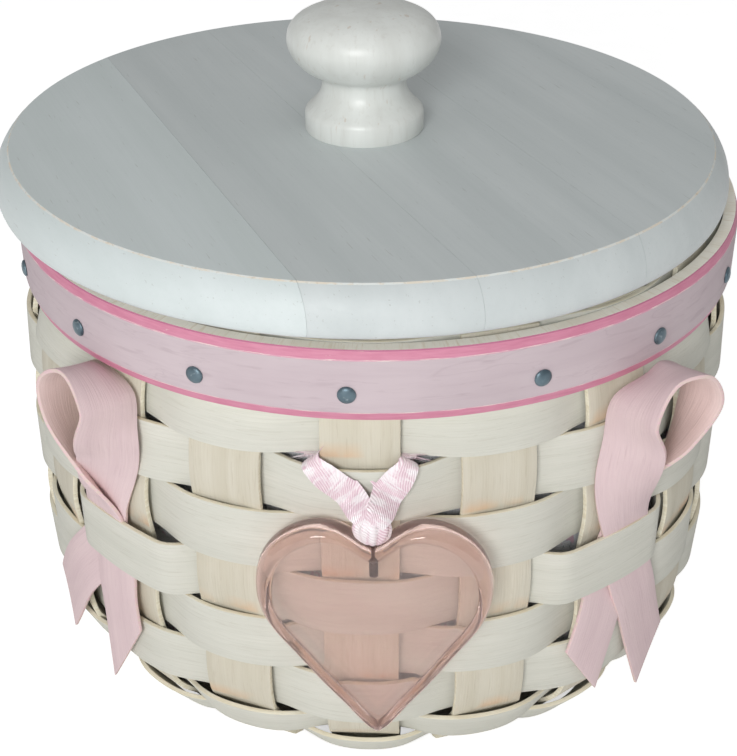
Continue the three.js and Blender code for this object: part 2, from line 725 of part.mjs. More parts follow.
function fixedTieBody() {
  const lowest = rowUnderTie.z - GATHERED_WIDTH;
  const behind = wallRadiusAt(rowUnderTie.z) - SPLINT_THICKNESS / 2 - SEAT_GAP - SATIN_THICKNESS / 2;
  const beside = behind + SEAT_GAP;
  const half = [
    [0, behind, lowest],
    [0.45 * UPRIGHT_WIDTH, behind, lowest],
    [UPRIGHT_WIDTH / 2 + SEAT_GAP, behind, lowest + SEAT_GAP],
    [tieSide, beside, lowest + 0.45 * GATHERED_WIDTH],
    [tieSide, beside, hingeHeight - 2 * SATIN_THICKNESS],
    [tieSide, beside + SATIN_THICKNESS, hingeHeight],
    [tieSide, hingeDepth - SATIN_THICKNESS - SEAT_GAP, hingeHeight + SEAT_GAP / 2],
  ];
  const mirrored = half.slice(1).map(([x, y, z]) => [-x, y, z]).reverse();
  const path = [...mirrored, ...half].map(([x, y, z]) => new THREE.Vector3(x, -y, z));
  const curve = new THREE.CatmullRomCurve3(path, false, "centripetal");
  const stations = [];
  for (let i = 0; i <= TIE_STEPS; i++) {
    const middle = curve.getPoint(i / TIE_STEPS);
    const heading = curve.getTangent(i / TIE_STEPS);
    const rising = Math.abs(heading.x) < 0.5 && Math.abs(heading.y) > 0.5;
    const across = rising
      ? new THREE.Vector3(0, 0, 1).cross(heading).normalize().negate()
      : new THREE.Vector3(0, -1, 0).cross(heading).normalize().negate();
    const face = new THREE.Vector3().crossVectors(heading, across).normalize();
    stations.push({ middle, across, face, width: GATHERED_WIDTH, thickness: SATIN_THICKNESS });
  }
  return stripBody(stations);
}
addPiece("satin_tie", fixedTieBody(), satin);

const weaveFront = Math.max(...wallKnots.map((knot) => knot.r)) + WEAVE_DEPTH + SPLINT_THICKNESS / 2;
const heartBack = weaveFront + SEAT_GAP;
const heartDepth = heartBack + HEART_THICKNESS / 2;
const cleftHeight = HEART_TIP_HEIGHT + HEART_HEIGHT * HEART_CLEFT;
const wrapFoot = cleftHeight + 4 * SEAT_GAP;
const ringHeight = wrapFoot + EYELET_RING_RADIUS + EYELET_WIRE_RADIUS + SEAT_GAP;

function strandBody(side) {
  const stations = [];
  const foot = wrapFoot + 0.85 * GATHERED_END_HEIGHT;
  for (let i = 0; i <= TIE_STEPS; i++) {
    const share = i / TIE_STEPS;
    const x = THREE.MathUtils.lerp(side * tieSide, HEART_X + side * STRAND_FOOT_APART, share);
    const z = THREE.MathUtils.lerp(hingeHeight, foot, share);
    const edges = [x - SATIN_WIDTH / 2, x, x + SATIN_WIDTH / 2];
    const height = Math.min(z, rowUnderTie.z);
    const front = Math.max(...edges.map((edge) => frontOfWeaver(edge, height)));
    const onWeaver = front + SEAT_GAP + SATIN_THICKNESS / 2;
    const toHeart = THREE.MathUtils.smoothstep(share, 0.45, 1);
    stations.push({ middle: new THREE.Vector3(x, -THREE.MathUtils.lerp(onWeaver, heartDepth, toHeart), z) });
  }
  stations.forEach((station, i) => {
    const before = stations[Math.max(i - 1, 0)].middle;
    const after = stations[Math.min(i + 1, TIE_STEPS)].middle;
    const heading = after.clone().sub(before).normalize();
    const out = new THREE.Vector3(station.middle.x, station.middle.y, 0).normalize();
    const opening = THREE.MathUtils.smoothstep(i / TIE_STEPS, 0, 0.3);
    station.across = out.clone().cross(heading).normalize().negate();
    station.across.lerp(new THREE.Vector3(-1, 0, 0), 1 - opening).normalize();
    station.face = new THREE.Vector3().crossVectors(heading, station.across).normalize();
    station.width = GATHERED_WIDTH + (SATIN_WIDTH - GATHERED_WIDTH) * opening;
    station.thickness = SATIN_THICKNESS;
  });
  return stripBody(stations);
}

function swingingTieBody() {
  const outline = [
    [0, 0],
    [0.45, 0],
    [0.72, 0.14],
    [0.97, 0.36],
    [1, 0.62],
    [0.85, 0.92],
    [0.6, 1],
    [0, 1],
  ];
  const wrap = turned(
    outline.map(([r, z]) => new THREE.Vector2((r * GATHERED_END_WIDTH) / 2, z * GATHERED_END_HEIGHT)),
    16,
  );
  wrap.scale(1, GATHERED_END_DEPTH / GATHERED_END_WIDTH, 1);
  wrap.translate(HEART_X, -heartDepth, wrapFoot);
  const ringRoom = new THREE.TorusGeometry(EYELET_RING_RADIUS, EYELET_WIRE_RADIUS + SEAT_GAP, 6, 14);
  ringRoom.rotateX(Math.PI / 2);
  ringRoom.translate(HEART_X, -heartDepth, ringHeight);
  const pinRoom = uprightCylinder(
    EYELET_WIRE_RADIUS + SEAT_GAP,
    wrapFoot - EYELET_RING_RADIUS,
    ringHeight - EYELET_RING_RADIUS,
    8,
  );
  pinRoom.translate(HEART_X, -heartDepth, 0);
  return geometryOf(
    solidOf(wrap)
      .add(solidOf(strandBody(-1)))
      .add(solidOf(strandBody(1)))
      .subtract(solidOf(ringRoom))
      .subtract(solidOf(pinRoom)),
  );
}
addPiece("satin_strands", swingingTieBody(), satin);

function eyeletBody() {
  const ring = new THREE.TorusGeometry(EYELET_RING_RADIUS, EYELET_WIRE_RADIUS, 6, 14);
  ring.rotateX(Math.PI / 2);
  ring.translate(0, 0, ringHeight);
  const pin = turned(
    [
      new THREE.Vector2(0, cleftHeight - EYELET_PIN_LENGTH),
      new THREE.Vector2(EYELET_FOOT_RADIUS, cleftHeight - EYELET_PIN_LENGTH),
      new THREE.Vector2(EYELET_FOOT_RADIUS, cleftHeight - EYELET_PIN_LENGTH + EYELET_FOOT_RADIUS),
      new THREE.Vector2(EYELET_WIRE_RADIUS, cleftHeight - EYELET_PIN_LENGTH + 2 * EYELET_FOOT_RADIUS),
      new THREE.Vector2(EYELET_WIRE_RADIUS, ringHeight - EYELET_RING_RADIUS),
      new THREE.Vector2(0, ringHeight - EYELET_RING_RADIUS),
    ],
    8,
  );
  return geometryOf(solidOf(ring).add(solidOf(pin))).translate(HEART_X, -heartDepth, 0);
}
addPiece("heart_eyelet", eyeletBody(), wireSteel);

// Glass heart: a thick rounded rim round a sunk flat face. Its outline is half a heart, in shares
// of the half width and of the height above the tip, and is drawn again at each step of the rim.
const HALF_HEART = [
  [0, 0],
  [0.06, 0.012],
  [0.27, 0.139],
  [0.49, 0.27],
  [0.71, 0.414],
  [0.89, 0.522],
  [0.97, 0.597],
  [1, 0.68],
  [0.98, 0.779],
  [0.92, 0.862],
  [0.8, 0.932],
  [0.63, 0.978],
  [0.45, 0.998],
  [0.3, 0.983],
  [0.175, 0.948],
  [0.075, 0.911],
  [0, HEART_CLEFT],
];
const RIM_STEPS = [
  [1 - HEART_RIM_SHARE, 0],
  [0.965, 0.04],
  [0.99, 0.16],
  [1, 0.42],
  [0.99, 0.72],
  [0.965, 0.9],
  [0.935, 0.985],
  [0.905, 1],
  [1.02 - HEART_RIM_SHARE, 0.97],
  [1 - HEART_RIM_SHARE, 1 - HEART_FACE_DEPTH / HEART_THICKNESS],
];

function glassHeartBody() {
  const side = HALF_HEART.map(([x, z]) => [x * (HEART_WIDTH / 2), z * HEART_HEIGHT]);
  const curve = new THREE.CatmullRomCurve3(
    side.map(([x, z]) => new THREE.Vector3(x, 0, z)),
    false,
    "centripetal",
  );
  const right = curve.getPoints(HEART_STEPS);
  const left = right.slice(1, -1).map((p) => new THREE.Vector3(-p.x, 0, p.z)).reverse();
  const outline = [...right, ...left];
  const middleHeight = HEART_HEIGHT / 2;
  const sections = RIM_STEPS.map(([scale, depth]) =>
    outline.map(
      (p) =>
        new THREE.Vector3(
          p.x * scale,
          -depth * HEART_THICKNESS,
          middleHeight + (p.z - middleHeight) * scale,
        ),
    ),
  );
  const glass = sweptBody(sections, false).translate(HEART_X, -heartBack, HEART_TIP_HEIGHT);
  const holeFoot = cleftHeight - EYELET_PIN_LENGTH - SEAT_GAP;
  const hole = uprightCylinder(EYELET_FOOT_RADIUS + SEAT_GAP, holeFoot, ringHeight, 8);
  hole.translate(HEART_X, -heartDepth, 0);
  return geometryOf(solidOf(glass).subtract(solidOf(hole)));
}
addPiece("glass_heart", glassHeartBody(), roseGlass);

export default basket;
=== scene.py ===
"""A round woven basket with a lined inside, a turned lid, splint ribbons and a hanging glass heart.

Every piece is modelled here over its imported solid, in the same frame: +Z is up, -Y is the front.
Sizes are in millimetres until a point becomes a mesh vertex. Finishes, lamps and camera work in metres.
"""

import math

import bpy
from mathutils import Matrix, Vector, noise


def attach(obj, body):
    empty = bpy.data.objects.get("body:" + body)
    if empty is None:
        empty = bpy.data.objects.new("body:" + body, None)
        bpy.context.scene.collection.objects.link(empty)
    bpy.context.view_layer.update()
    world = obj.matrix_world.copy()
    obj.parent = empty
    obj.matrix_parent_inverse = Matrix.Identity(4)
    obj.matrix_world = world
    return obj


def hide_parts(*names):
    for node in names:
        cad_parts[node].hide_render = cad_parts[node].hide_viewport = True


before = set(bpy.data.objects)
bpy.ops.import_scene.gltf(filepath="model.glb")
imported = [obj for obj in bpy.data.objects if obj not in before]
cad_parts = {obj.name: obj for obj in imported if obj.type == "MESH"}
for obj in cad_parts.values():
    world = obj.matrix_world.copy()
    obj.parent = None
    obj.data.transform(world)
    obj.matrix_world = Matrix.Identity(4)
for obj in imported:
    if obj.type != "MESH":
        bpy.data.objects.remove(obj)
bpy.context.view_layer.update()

MM = 0.001

# Wall as it is packed. A row of weavers is (width, lean of the wall in degrees), from the rim down.
SPLINT_THICKNESS = 1.5
UPRIGHT_WIDTH = 17.5
UPRIGHT_SPACING = 0.5
LONG_SPLINTS = 9
UPRIGHT_STEP = 180 / LONG_SPLINTS
RIM_HEIGHT = 127.021
RIM_RADIUS = 85.6
FLOOR_SPLINT_THICKNESS = 0.9
FLOOR_CROSSING_RADIUS = 21
CROSSING_CLIMB_RADIUS = 1.75 * FLOOR_CROSSING_RADIUS
FOOT_TURN = 1.2
FOOT_TURN_REACH = 3
SHAVED_SHARE = 0.58
WEAVER_ROWS = (
    (13.5, 0), (15.3, -2.6), (15.3, -2.4), (15.3, -1.0), (15.3, 0.2),
    (15.3, 1.0), (15.3, 3.2), (11.1, 26), (11.1, 34),
)
FOOT_ROW = 7
WEAVER_TRIM = 0.15

# Wall as it looks: how the splints give, and how the wall swells. A pair of heights or angles is where
# a change starts and ends, and angles are in degrees from the front.
WEAVER_SHEET = 1.15
UPRIGHT_SHEET = 1.25
RIM_WEAVE_DEPTH = 1.35
WEAVE_DEPTH = 2.1
FOOT_WEAVE_DEPTH = 2.3
FOOT_WEAVE_HEIGHTS = (8, 22)
WEAVE_SQUARENESS = 1.2
UPRIGHT_BOW = 0.8
EDGE_WANDER = 0.35
EDGE_LIFT = 0.4
FOOT_EDGE_LIFT = 1.8
WALL_SWELL = 1.9
FOOT_SWELL_SHARE = 0.6
FOOT_SWELL_HEIGHTS = (2, 16)
LEFT_SWELL = 3.0
RIGHT_SWELL = 0.8
SIDE_SWELL_ANGLES = (45, 78, 100, 140)
SIDE_SWELL_AT_FOOT = 1.25
SIDE_SWELL_LOSS = 0.7
HEART_DENT = 0.7
HEART_DENT_ANGLES = (8, 25)

# Rim. The first tacks stray from even spacing by a few degrees.
TRIM_FOOT = RIM_HEIGHT - 17
TRIM_INNER = 87.9
TRIM_OUTER = 91.546
TRIM_BEVEL_HEIGHT = 2.3
TRIM_BEVEL_DEPTH = 0.85
TRIM_LINE_SHARES = (0.14, 0.88)
TRIM_WANDER = 0.12
HOOP_GIRTH = 24
INNER_BAND_TOP = RIM_HEIGHT + 4
INNER_BAND_FOOT = INNER_BAND_TOP - 23
INNER_BAND_OUTER = 81.913
INNER_BAND_INNER = 79.413
TACK_COUNT = 16
FIRST_TACK_ANGLE = -67.5
TACK_STRAY = (0.5, 0.2, -0.1, -1.5, 2.4, 0.6, 1)
TACK_HEIGHT = RIM_HEIGHT - 10.3

# Lid and knob. The lid's edge is rounded below and above, up to an arris that is worn between two
# depths below the top. Its seams are at shares of its half width across the grain.
LID_RADIUS = 94.246
LID_SHRINKAGE = 0.034
LID_THICKNESS = 11
LOWER_ROUND_DEPTH = 1.2
LOWER_ROUND_HEIGHT = 2.6
UPPER_ROUND_DEPTH = 4
UPPER_ROUND_ARC = 48
ARRIS_DEPTH = 0.4
ARRIS_HEIGHT = 0.3
WORN_ARRIS = (0.65, 0.05)
LID_SHIFT = Vector((-4.3, -1.4, 0))
LID_GRAIN_ANGLE = -64
BOARD_SEAMS = (-0.504, -0.134, 0.308, 0.769)
KNOB_BOARD = 2
GLUE_GAP = 0.05
SEAT_GAP = 0.3
LID_FOOT = INNER_BAND_TOP + SEAT_GAP
LID_TOP = LID_FOOT + LID_THICKNESS
SEAT_PLATE_THICKNESS = 6
SEAT_PLATE_RADIUS = INNER_BAND_INNER - 4.9
KNOB_PLACE = LID_SHIFT + Vector((1.4, -3.7, 0))
KNOB_HEIGHT = 31
KNOB_HOLE_DEPTH = 14.3
SCREW_HOLE = 2.45
SCREW_BITE = 14

# Ribbons, tie and heart
RIBBON_WIDTH = 14.5
RIBBON_THICKNESS = 0.9
RIBBON_ROW = 4
RIBBON_ROW_OUT = 3.7
RIBBON_ROW_ANGLES = (8, 15)
RIBBON_ANGLE = 40
RIBBON_CROSSING = 60
RIBBON_LIFT = 0.9
RIBBON_LIFT_HEIGHTS = (12, 30)
TIE_ROW = 2
TIE_GAP = 2.2
TIE_GAP_ANGLES = (6, 17)
TIE_SIDE = 10.25
SATIN_WIDTH = 10
STRAND_WIDTH = 5.9
HEART_X = 3
HEART_WIDTH = 53
HEART_HEIGHT = 60.3
HEART_THICKNESS = 7
HEART_TIP_HEIGHT = 26.2
HEART_CLEFT = 0.894
HEART_BACK = 91.352
HEART_DEPTH = HEART_BACK + HEART_THICKNESS / 2
CLEFT_HEIGHT = HEART_TIP_HEIGHT + HEART_HEIGHT * HEART_CLEFT
PIN_DEPTH = 8
PIN_HOLE = 0.97
RING_HEIGHT = 84.408
WRAP_FOOT = 81.308
WRAP_HEIGHT = 9.8
WRAP_HALF_WIDTH = 3.9
WRAP_HALF_DEPTH = 2.25

# Lining
FLOOR_TOP = 8.4
LINING_FLOOR_RADIUS = 73
LINING_GIRTH = 517
LINING_HEIGHT = 100

BASKET = "basket"
LID = "lid"
HEART = "heart"


def wall_knots():
    """The wall's middle line as (radius, height) points: the rim, then the foot of each row."""
    knots = [(RIM_RADIUS, RIM_HEIGHT)]
    for width, lean in WEAVER_ROWS:
        radius, height = knots[-1]
        turn = math.radians(lean)
        knots.append((radius - width * math.sin(turn), height - width * math.cos(turn)))
    return knots


KNOTS = wall_knots()
FOOT = KNOTS[-1]


def tone(red, green, blue):
    """A colour as it is seen, 0 to 255, in the linear values that a shader takes."""
    def linear(value):
        value /= 255
        return value / 12.92 if value <= 0.04045 else ((value + 0.055) / 1.055) ** 2.4
    return (linear(red), linear(green), linear(blue), 1)


# Shaping tools

def deselect_all():
    if bpy.context.object and bpy.context.object.mode != "OBJECT":
        bpy.ops.object.mode_set(mode="OBJECT")
    bpy.ops.object.select_all(action="DESELECT")


def take(piece):
    deselect_all()
    piece.select_set(True)
    bpy.context.view_layer.objects.active = piece


def edit(piece, select="SELECT"):
    """Opens a piece in edit mode, with all of it selected, or none of it with DESELECT."""
    take(piece)
    bpy.ops.object.mode_set(mode="EDIT")
    bpy.ops.mesh.select_all(action=select)


def stop_editing():
    bpy.ops.object.mode_set(mode="OBJECT")


def newest(name):
    piece = bpy.context.object
    piece.name = name
    piece.data.name = name
    return piece


def apply_modifiers(piece):
    take(piece)
    for modifier in list(piece.modifiers):
        bpy.ops.object.modifier_apply(modifier=modifier.name)


def smooth(piece, angle=35):
    take(piece)
    bpy.ops.object.shade_smooth_by_angle(angle=math.radians(angle))


def recalculate(piece, merge=1e-6):
    edit(piece)
    bpy.ops.mesh.remove_doubles(threshold=merge)
    bpy.ops.mesh.normals_make_consistent(inside=False)
    stop_editing()


def finish_with(piece, *materials):
    for material in materials:
        piece.data.materials.append(material)
    return piece


def dress(piece, body, slot, *nodes):
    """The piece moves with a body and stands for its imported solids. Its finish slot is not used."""
    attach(piece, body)
    if nodes:
        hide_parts(*nodes)


def lay_strip(name, rows, columns, place, u_length, v_width):
    """A grid bent to place(share along, share across), with UVs in metres along its grain."""
    deselect_all()
    bpy.ops.mesh.primitive_grid_add(x_subdivisions=rows, y_subdivisions=columns, size=2)
    strip = newest(name)
    uv = strip.data.uv_layers[0].data
    for loop in strip.data.loops:
        x, y, _ = strip.data.vertices[loop.vertex_index].co
        uv[loop.index].uv = ((x + 1) / 2 * u_length * MM, (y + 1) / 2 * v_width * MM)
    for vertex in strip.data.vertices:
        vertex.co = place((vertex.co.x + 1) / 2, (vertex.co.y + 1) / 2) * MM
    return strip


def share_across(strip, face, width):
    """How far across its strip a face lies, from 0 to 1, read from its UVs."""
    uv = strip.data.uv_layers[0].data
    return sum(uv[i].uv.y for i in face.loop_indices) / len(face.loop_indices) / (width * MM)


def thicken(piece, thickness, rim=0, back=0, bevel=0.22, thinned=None):
    """Gives a bent strip its thickness. Its cut edges and its back can have their own finish."""
    solid = piece.modifiers.new("thickness", "SOLIDIFY")
    solid.thickness = thickness * MM
    solid.offset = 0
    solid.use_even_offset = True
    solid.material_offset_rim = rim
    solid.material_offset = back
    if thinned:
        solid.vertex_group = thinned
    if bevel:
        round_edges(piece, bevel)
    apply_modifiers(piece)


def round_edges(piece, width):
    rounding = piece.modifiers.new("edges", "BEVEL")
    rounding.width = width * MM
    rounding.segments = 2
    rounding.limit_method = "ANGLE"
    rounding.angle_limit = math.radians(50)


def spun(name, profile, steps):
    """A turned piece: its open profile of (radius, height) points spun round the upright axis."""
    deselect_all()
    bpy.ops.mesh.primitive_circle_add(vertices=len(profile), radius=1, fill_type="NOTHING")
    piece = newest(name)
    edit(piece, "DESELECT")
    stop_editing()
    last = len(profile) - 1
    for edge in piece.data.edges:
        edge.select = set(edge.vertices) == {0, last}
    bpy.ops.object.mode_set(mode="EDIT")
    bpy.context.tool_settings.mesh_select_mode = (False, True, False)
    bpy.ops.mesh.delete(type="EDGE")
    bpy.context.tool_settings.mesh_select_mode = (True, False, False)
    stop_editing()
    for vertex, (radius, height) in zip(piece.data.vertices, profile):
        vertex.co = Vector((0, -radius, height)) * MM
    edit(piece)
    bpy.ops.mesh.spin(steps=steps, angle=2 * math.pi, center=(0, 0, 0), axis=(0, 0, 1), use_auto_merge=True)
    stop_editing()
    recalculate(piece)
    return piece


def move_mesh(piece, matrix):
    piece.data.transform(matrix)
    piece.data.update()


def shifted(offset):
    return Matrix.Translation(Vector(offset) * MM)


def drill(piece, x, y, radius, low, high):
    """Takes an upright round hole out of a piece."""
    deselect_all()
    bpy.ops.mesh.primitive_cylinder_add(
        vertices=32, radius=radius * MM, depth=(high - low) * MM,
        location=(x * MM, y * MM, (low + high) / 2 * MM),
    )
    bit = newest("drill")
    hole = piece.modifiers.new("hole", "BOOLEAN")
    hole.operation = "DIFFERENCE"
    hole.object = bit
    apply_modifiers(piece)
    take(bit)
    bpy.ops.object.delete()


def smoothstep(value, low, high):
    """0 up to low, 1 from high on, and a soft slope between them."""
    t = min(max((value - low) / (high - low), 0), 1)
    return t * t * (3 - 2 * t)


def eased_route(points):
    """One smooth curve through flat or solid points: a function of a share from 0 to 1."""
    knots = [Vector(p) for p in points]
    knots = [2 * knots[0] - knots[1]] + knots + [2 * knots[-1] - knots[-2]]

    def at(share):
        reach = min(max(share, 0), 1) * (len(points) - 1)
        i = min(int(reach), len(points) - 2)
        t = reach - i
        p0, p1, p2, p3 = knots[i:i + 4]
        d0, d1, d2 = (max((b - a).length ** 0.5, 1e-3) for a, b in ((p0, p1), (p1, p2), (p2, p3)))
        leave = ((p1 - p0) / d0 - (p2 - p0) / (d0 + d1) + (p2 - p1) / d1) * d1
        arrive = ((p2 - p1) / d1 - (p3 - p1) / (d1 + d2) + (p3 - p2) / d2) * d1
        bend = -3 * p1 + 3 * p2 - 2 * leave - arrive
        return p1 + leave * t + bend * t * t + (2 * p1 - 2 * p2 + leave + arrive) * t ** 3

    return at


def heading_at(route, share, step=0.01):
    """The direction in which a route runs at a share of its length."""
    return (route(min(share + step, 1)) - route(max(share - step, 0))).normalized()


# Finishes

class Nodes:
    """The node tree of a material or the world: each call adds a node and gives its output back."""

    def __init__(self, owner):
        owner.use_nodes = True
        self.nodes = owner.node_tree.nodes
        self.links = owner.node_tree.links

    def node(self, kind, **settings):
        made = self.nodes.new(kind)
        for key, value in settings.items():
            setattr(made, key, value)
        return made

    def put(self, socket, value):
        if isinstance(value, bpy.types.NodeSocket):
            self.links.new(value, socket)
        else:
            socket.default_value = value

    def math(self, how, a, b):
        made = self.node("ShaderNodeMath", operation=how)
        self.put(made.inputs[0], a)
        self.put(made.inputs[1], b)
        return made.outputs[0]

    def seen_by(self, *rays):
        """1 where a surface or the sky is seen by one of these kinds of ray, such as Camera."""
        path = self.node("ShaderNodeLightPath")
        seen, *others = (path.outputs[f"Is {ray} Ray"] for ray in rays)
        for other in others:
            seen = self.math("MAXIMUM", seen, other)
        return seen


class Finish(Nodes):
    """A node material on its way."""

    def __init__(self, name):
        self.material = bpy.data.materials.new(name)
        super().__init__(self.material)
        self.surface = self.nodes["Principled BSDF"]

    def where(self, source, scale=(1, 1, 1), turn=(0, 0, 0), offset=(0, 0, 0)):
        """The place at which a texture is read, from UV, Object or another place, scaled and turned."""
        spot = self.node("ShaderNodeMapping")
        if isinstance(source, str):
            source = self.node("ShaderNodeTexCoord").outputs[source]
        self.put(spot.inputs["Vector"], source)
        self.put(spot.inputs["Scale"], scale)
        self.put(spot.inputs["Rotation"], turn)
        self.put(spot.inputs["Location"], offset)
        return spot.outputs["Vector"]

    def height(self):
        split = self.node("ShaderNodeSeparateXYZ")
        self.put(split.inputs[0], self.where("Object"))
        return split.outputs["Z"]

    def noise(self, source, scale, offset=(0, 0, 0), detail=4, roughness=0.55, distortion=0):
        made = self.node("ShaderNodeTexNoise")
        self.put(made.inputs["Vector"], self.where(source, scale, offset=offset))
        self.put(made.inputs["Scale"], 1)
        self.put(made.inputs["Detail"], detail)
        self.put(made.inputs["Roughness"], roughness)
        self.put(made.inputs["Distortion"], distortion)
        return made.outputs["Fac"]

    def waves(self, vector, scale, distortion, detail, direction="X"):
        made = self.node("ShaderNodeTexWave", bands_direction=direction)
        self.put(made.inputs["Vector"], vector)
        self.put(made.inputs["Scale"], scale)
        self.put(made.inputs["Distortion"], distortion)
        self.put(made.inputs["Detail"], detail)
        return made.outputs["Fac"]

    def ramp(self, value, *stops):
        """What a value from 0 to 1 becomes: each stop is a position and its colour or share."""
        made = self.node("ShaderNodeValToRGB")
        self.put(made.inputs["Fac"], value)
        band = made.color_ramp
        while len(band.elements) < len(stops):
            band.elements.new(0.5)
        for element, (position, colour) in zip(band.elements, stops):
            element.position = position
            element.color = colour if hasattr(colour, "__len__") else (colour, colour, colour, 1)
        return made.outputs["Color"]

    def mix(self, factor, a, b):
        made = self.node("ShaderNodeMix", data_type="RGBA")
        colour_a, colour_b = made.inputs[6], made.inputs[7]
        self.put(made.inputs["Factor"], factor)
        self.put(colour_a, a)
        self.put(colour_b, b)
        return made.outputs[2]

    def tinted(self, colour, tint, pattern, low, high, strength):
        """A tint over a colour where a pattern is high, from none at low to its strength at high."""
        return self.mix(self.ramp(pattern, (low, 0), (high, strength)), colour, tint)

    def bump(self, height, strength, distance):
        made = self.node("ShaderNodeBump")
        self.put(made.inputs["Height"], height)
        self.put(made.inputs["Strength"], strength)
        self.put(made.inputs["Distance"], distance)
        self.put(self.surface.inputs["Normal"], made.outputs["Normal"])

    def done(self, colour, roughness, **sockets):
        self.put(self.surface.inputs["Base Color"], colour)
        self.put(self.surface.inputs["Roughness"], roughness)
        for key, value in sockets.items():
            self.put(self.surface.inputs[key.replace("_", " ")], value)
        return self.material


DIP_TINT_RAMP_HEIGHT = 140


def splint_finish(name, pale, deep, dark, crack_share, streak=0.5, dip_tint=None, dip_heights=()):
    """Thin shaved wood: long fibres, cloudy patches and a few darker pores along the grain.

    Just above the given heights, where an upright dips behind a weaver, the wood takes a warmer, darker
    tint in patches.
    """
    finish = Finish(name)
    fibres = finish.noise("UV", (45, 1900, 900), detail=5, roughness=0.7)
    bands = finish.noise("UV", (11, 190, 150), detail=3)
    clouds = finish.noise("Object", (34, 34, 34), detail=3)
    pores = finish.noise("UV", (95, 2400, 1500), detail=2, roughness=0.4)
    cracks = finish.noise("UV", (16, 620, 500), offset=(3, 7, 0), detail=4, distortion=0.6)
    colour = finish.tinted(pale, deep, bands, 0.34, 0.68, streak)
    colour = finish.tinted(colour, deep, clouds, 0.45, 0.75, 0.5)
    colour = finish.tinted(colour, deep, fibres, 0.46, 0.7, 0.55)
    colour = finish.tinted(colour, dark, pores, 0.64, 0.7, 0.2)
    colour = finish.mix(finish.ramp(cracks, (0.494, 0), (0.5, crack_share), (0.506, 0)), colour, dark)
    # A warm, darker tint in patches, strongest 0.8 mm above each given height and gone 4.5 mm above it.
    if dip_tint:
        stops = [
            ((foot + above) / DIP_TINT_RAMP_HEIGHT, strength)
            for foot in sorted(dip_heights) for above, strength in ((0, 0), (0.8, 0.95), (4.5, 0))
        ]
        near_foot = finish.ramp(finish.math("DIVIDE", finish.height(), DIP_TINT_RAMP_HEIGHT * MM), *stops)
        blotches = finish.noise("Object", (90, 90, 60), detail=3)
        patchy = finish.ramp(blotches, (0.46, 0), (0.62, 0.65))
        colour = finish.mix(finish.math("MULTIPLY", near_foot, patchy), colour, dip_tint)
    finish.bump(finish.mix(0.5, fibres, pores), strength=0.4, distance=0.0004)
    return finish.done(colour, 0.74, Specular_IOR_Level=0.3)


def edge_finish(name, pale, deep):
    """The cut edge of a splint, where its layers show as fine lines."""
    finish = Finish(name)
    layers = finish.noise("Object", (90, 90, 1600), detail=3)
    flecks = finish.noise("Object", (420, 420, 420), detail=3)
    colour = finish.tinted(pale, deep, layers, 0.35, 0.65, 0.8)
    colour = finish.tinted(colour, deep, flecks, 0.6, 0.75, 0.6)
    finish.bump(layers, strength=0.4, distance=0.0003)
    return finish.done(colour, 0.8)


def cracked_edge_finish(name, pale, deep):
    """The top edge of a bent hoop, dried out and cracked crosswise."""
    finish = Finish(name)
    cracks = finish.noise("UV", (900, 60, 1), detail=4, roughness=0.7)
    patches = finish.noise("UV", (70, 70, 1), detail=3)
    colour = finish.tinted(pale, deep, cracks, 0.52, 0.62, 0.75)
    colour = finish.tinted(colour, deep, patches, 0.45, 0.7, 0.5)
    finish.bump(cracks, strength=0.5, distance=0.0004)
    return finish.done(colour, 0.82)


def painted_edge_finish(name, paint, worn_paint, bare, bare_from):
    """Paint along an edge, worn through here and there to the pale wood."""
    finish = Finish(name)
    strokes = finish.noise("UV", (160, 900, 1), detail=4, roughness=0.6)
    wear = finish.noise("UV", (190, 500, 1), offset=(5, 2, 0), detail=5, roughness=0.7)
    colour = finish.tinted(paint, worn_paint, strokes, 0.35, 0.7, 1)
    colour = finish.tinted(colour, bare, wear, bare_from, bare_from + 0.06, 0.9)
    finish.bump(wear, strength=0.4, distance=0.0003)
    return finish.done(colour, 0.62)


def wood_finish(name, pale, deep, mark, roughness=0.5, offset=(0, 0, 0)):
    """A washed board, with solid grain along the boards of the lid."""
    finish = Finish(name)
    along = finish.where("Object", turn=(0, 0, -math.radians(LID_GRAIN_ANGLE)), offset=offset)
    fibres = finish.noise(along, (26, 900, 900), detail=5, roughness=0.7)
    bands = finish.noise(along, (5, 90, 60), detail=4, distortion=0.4)
    flecks = finish.noise(along, (130, 1700, 1700), detail=2)
    clouds = finish.noise(along, (16, 26, 26), detail=3)
    colour = finish.tinted(pale, deep, bands, 0.36, 0.68, 0.8)
    colour = finish.tinted(colour, deep, clouds, 0.4, 0.72, 0.6)
    colour = finish.tinted(colour, deep, fibres, 0.5, 0.75, 0.35)
    colour = finish.tinted(colour, mark, flecks, 0.68, 0.74, 0.5)
    worn = finish.ramp(fibres, (0.3, roughness - 0.06), (0.7, roughness + 0.1))
    finish.bump(fibres, strength=0.12, distance=0.0003)
    return finish.done(colour, worn, Specular_IOR_Level=0.5)


WHITE_SPLINT = splint_finish(
    "white_splint", tone(217, 216, 206), tone(200, 200, 189), tone(168, 162, 144), crack_share=0.3
)
# The uprights take this warm darker tint just above the feet of the second to eighth rows.
UPRIGHT_SPLINT = splint_finish(
    "upright_splint", tone(214, 209, 194), tone(198, 191, 172), tone(160, 146, 122),
    streak=0.7, crack_share=0.25, dip_tint=tone(222, 182, 142), dip_heights=[z for _, z in KNOTS[2:9]],
)
PINK_SPLINT = splint_finish(
    "pink_splint", tone(227, 205, 206), tone(212, 188, 192), tone(184, 154, 160), crack_share=0.15
)
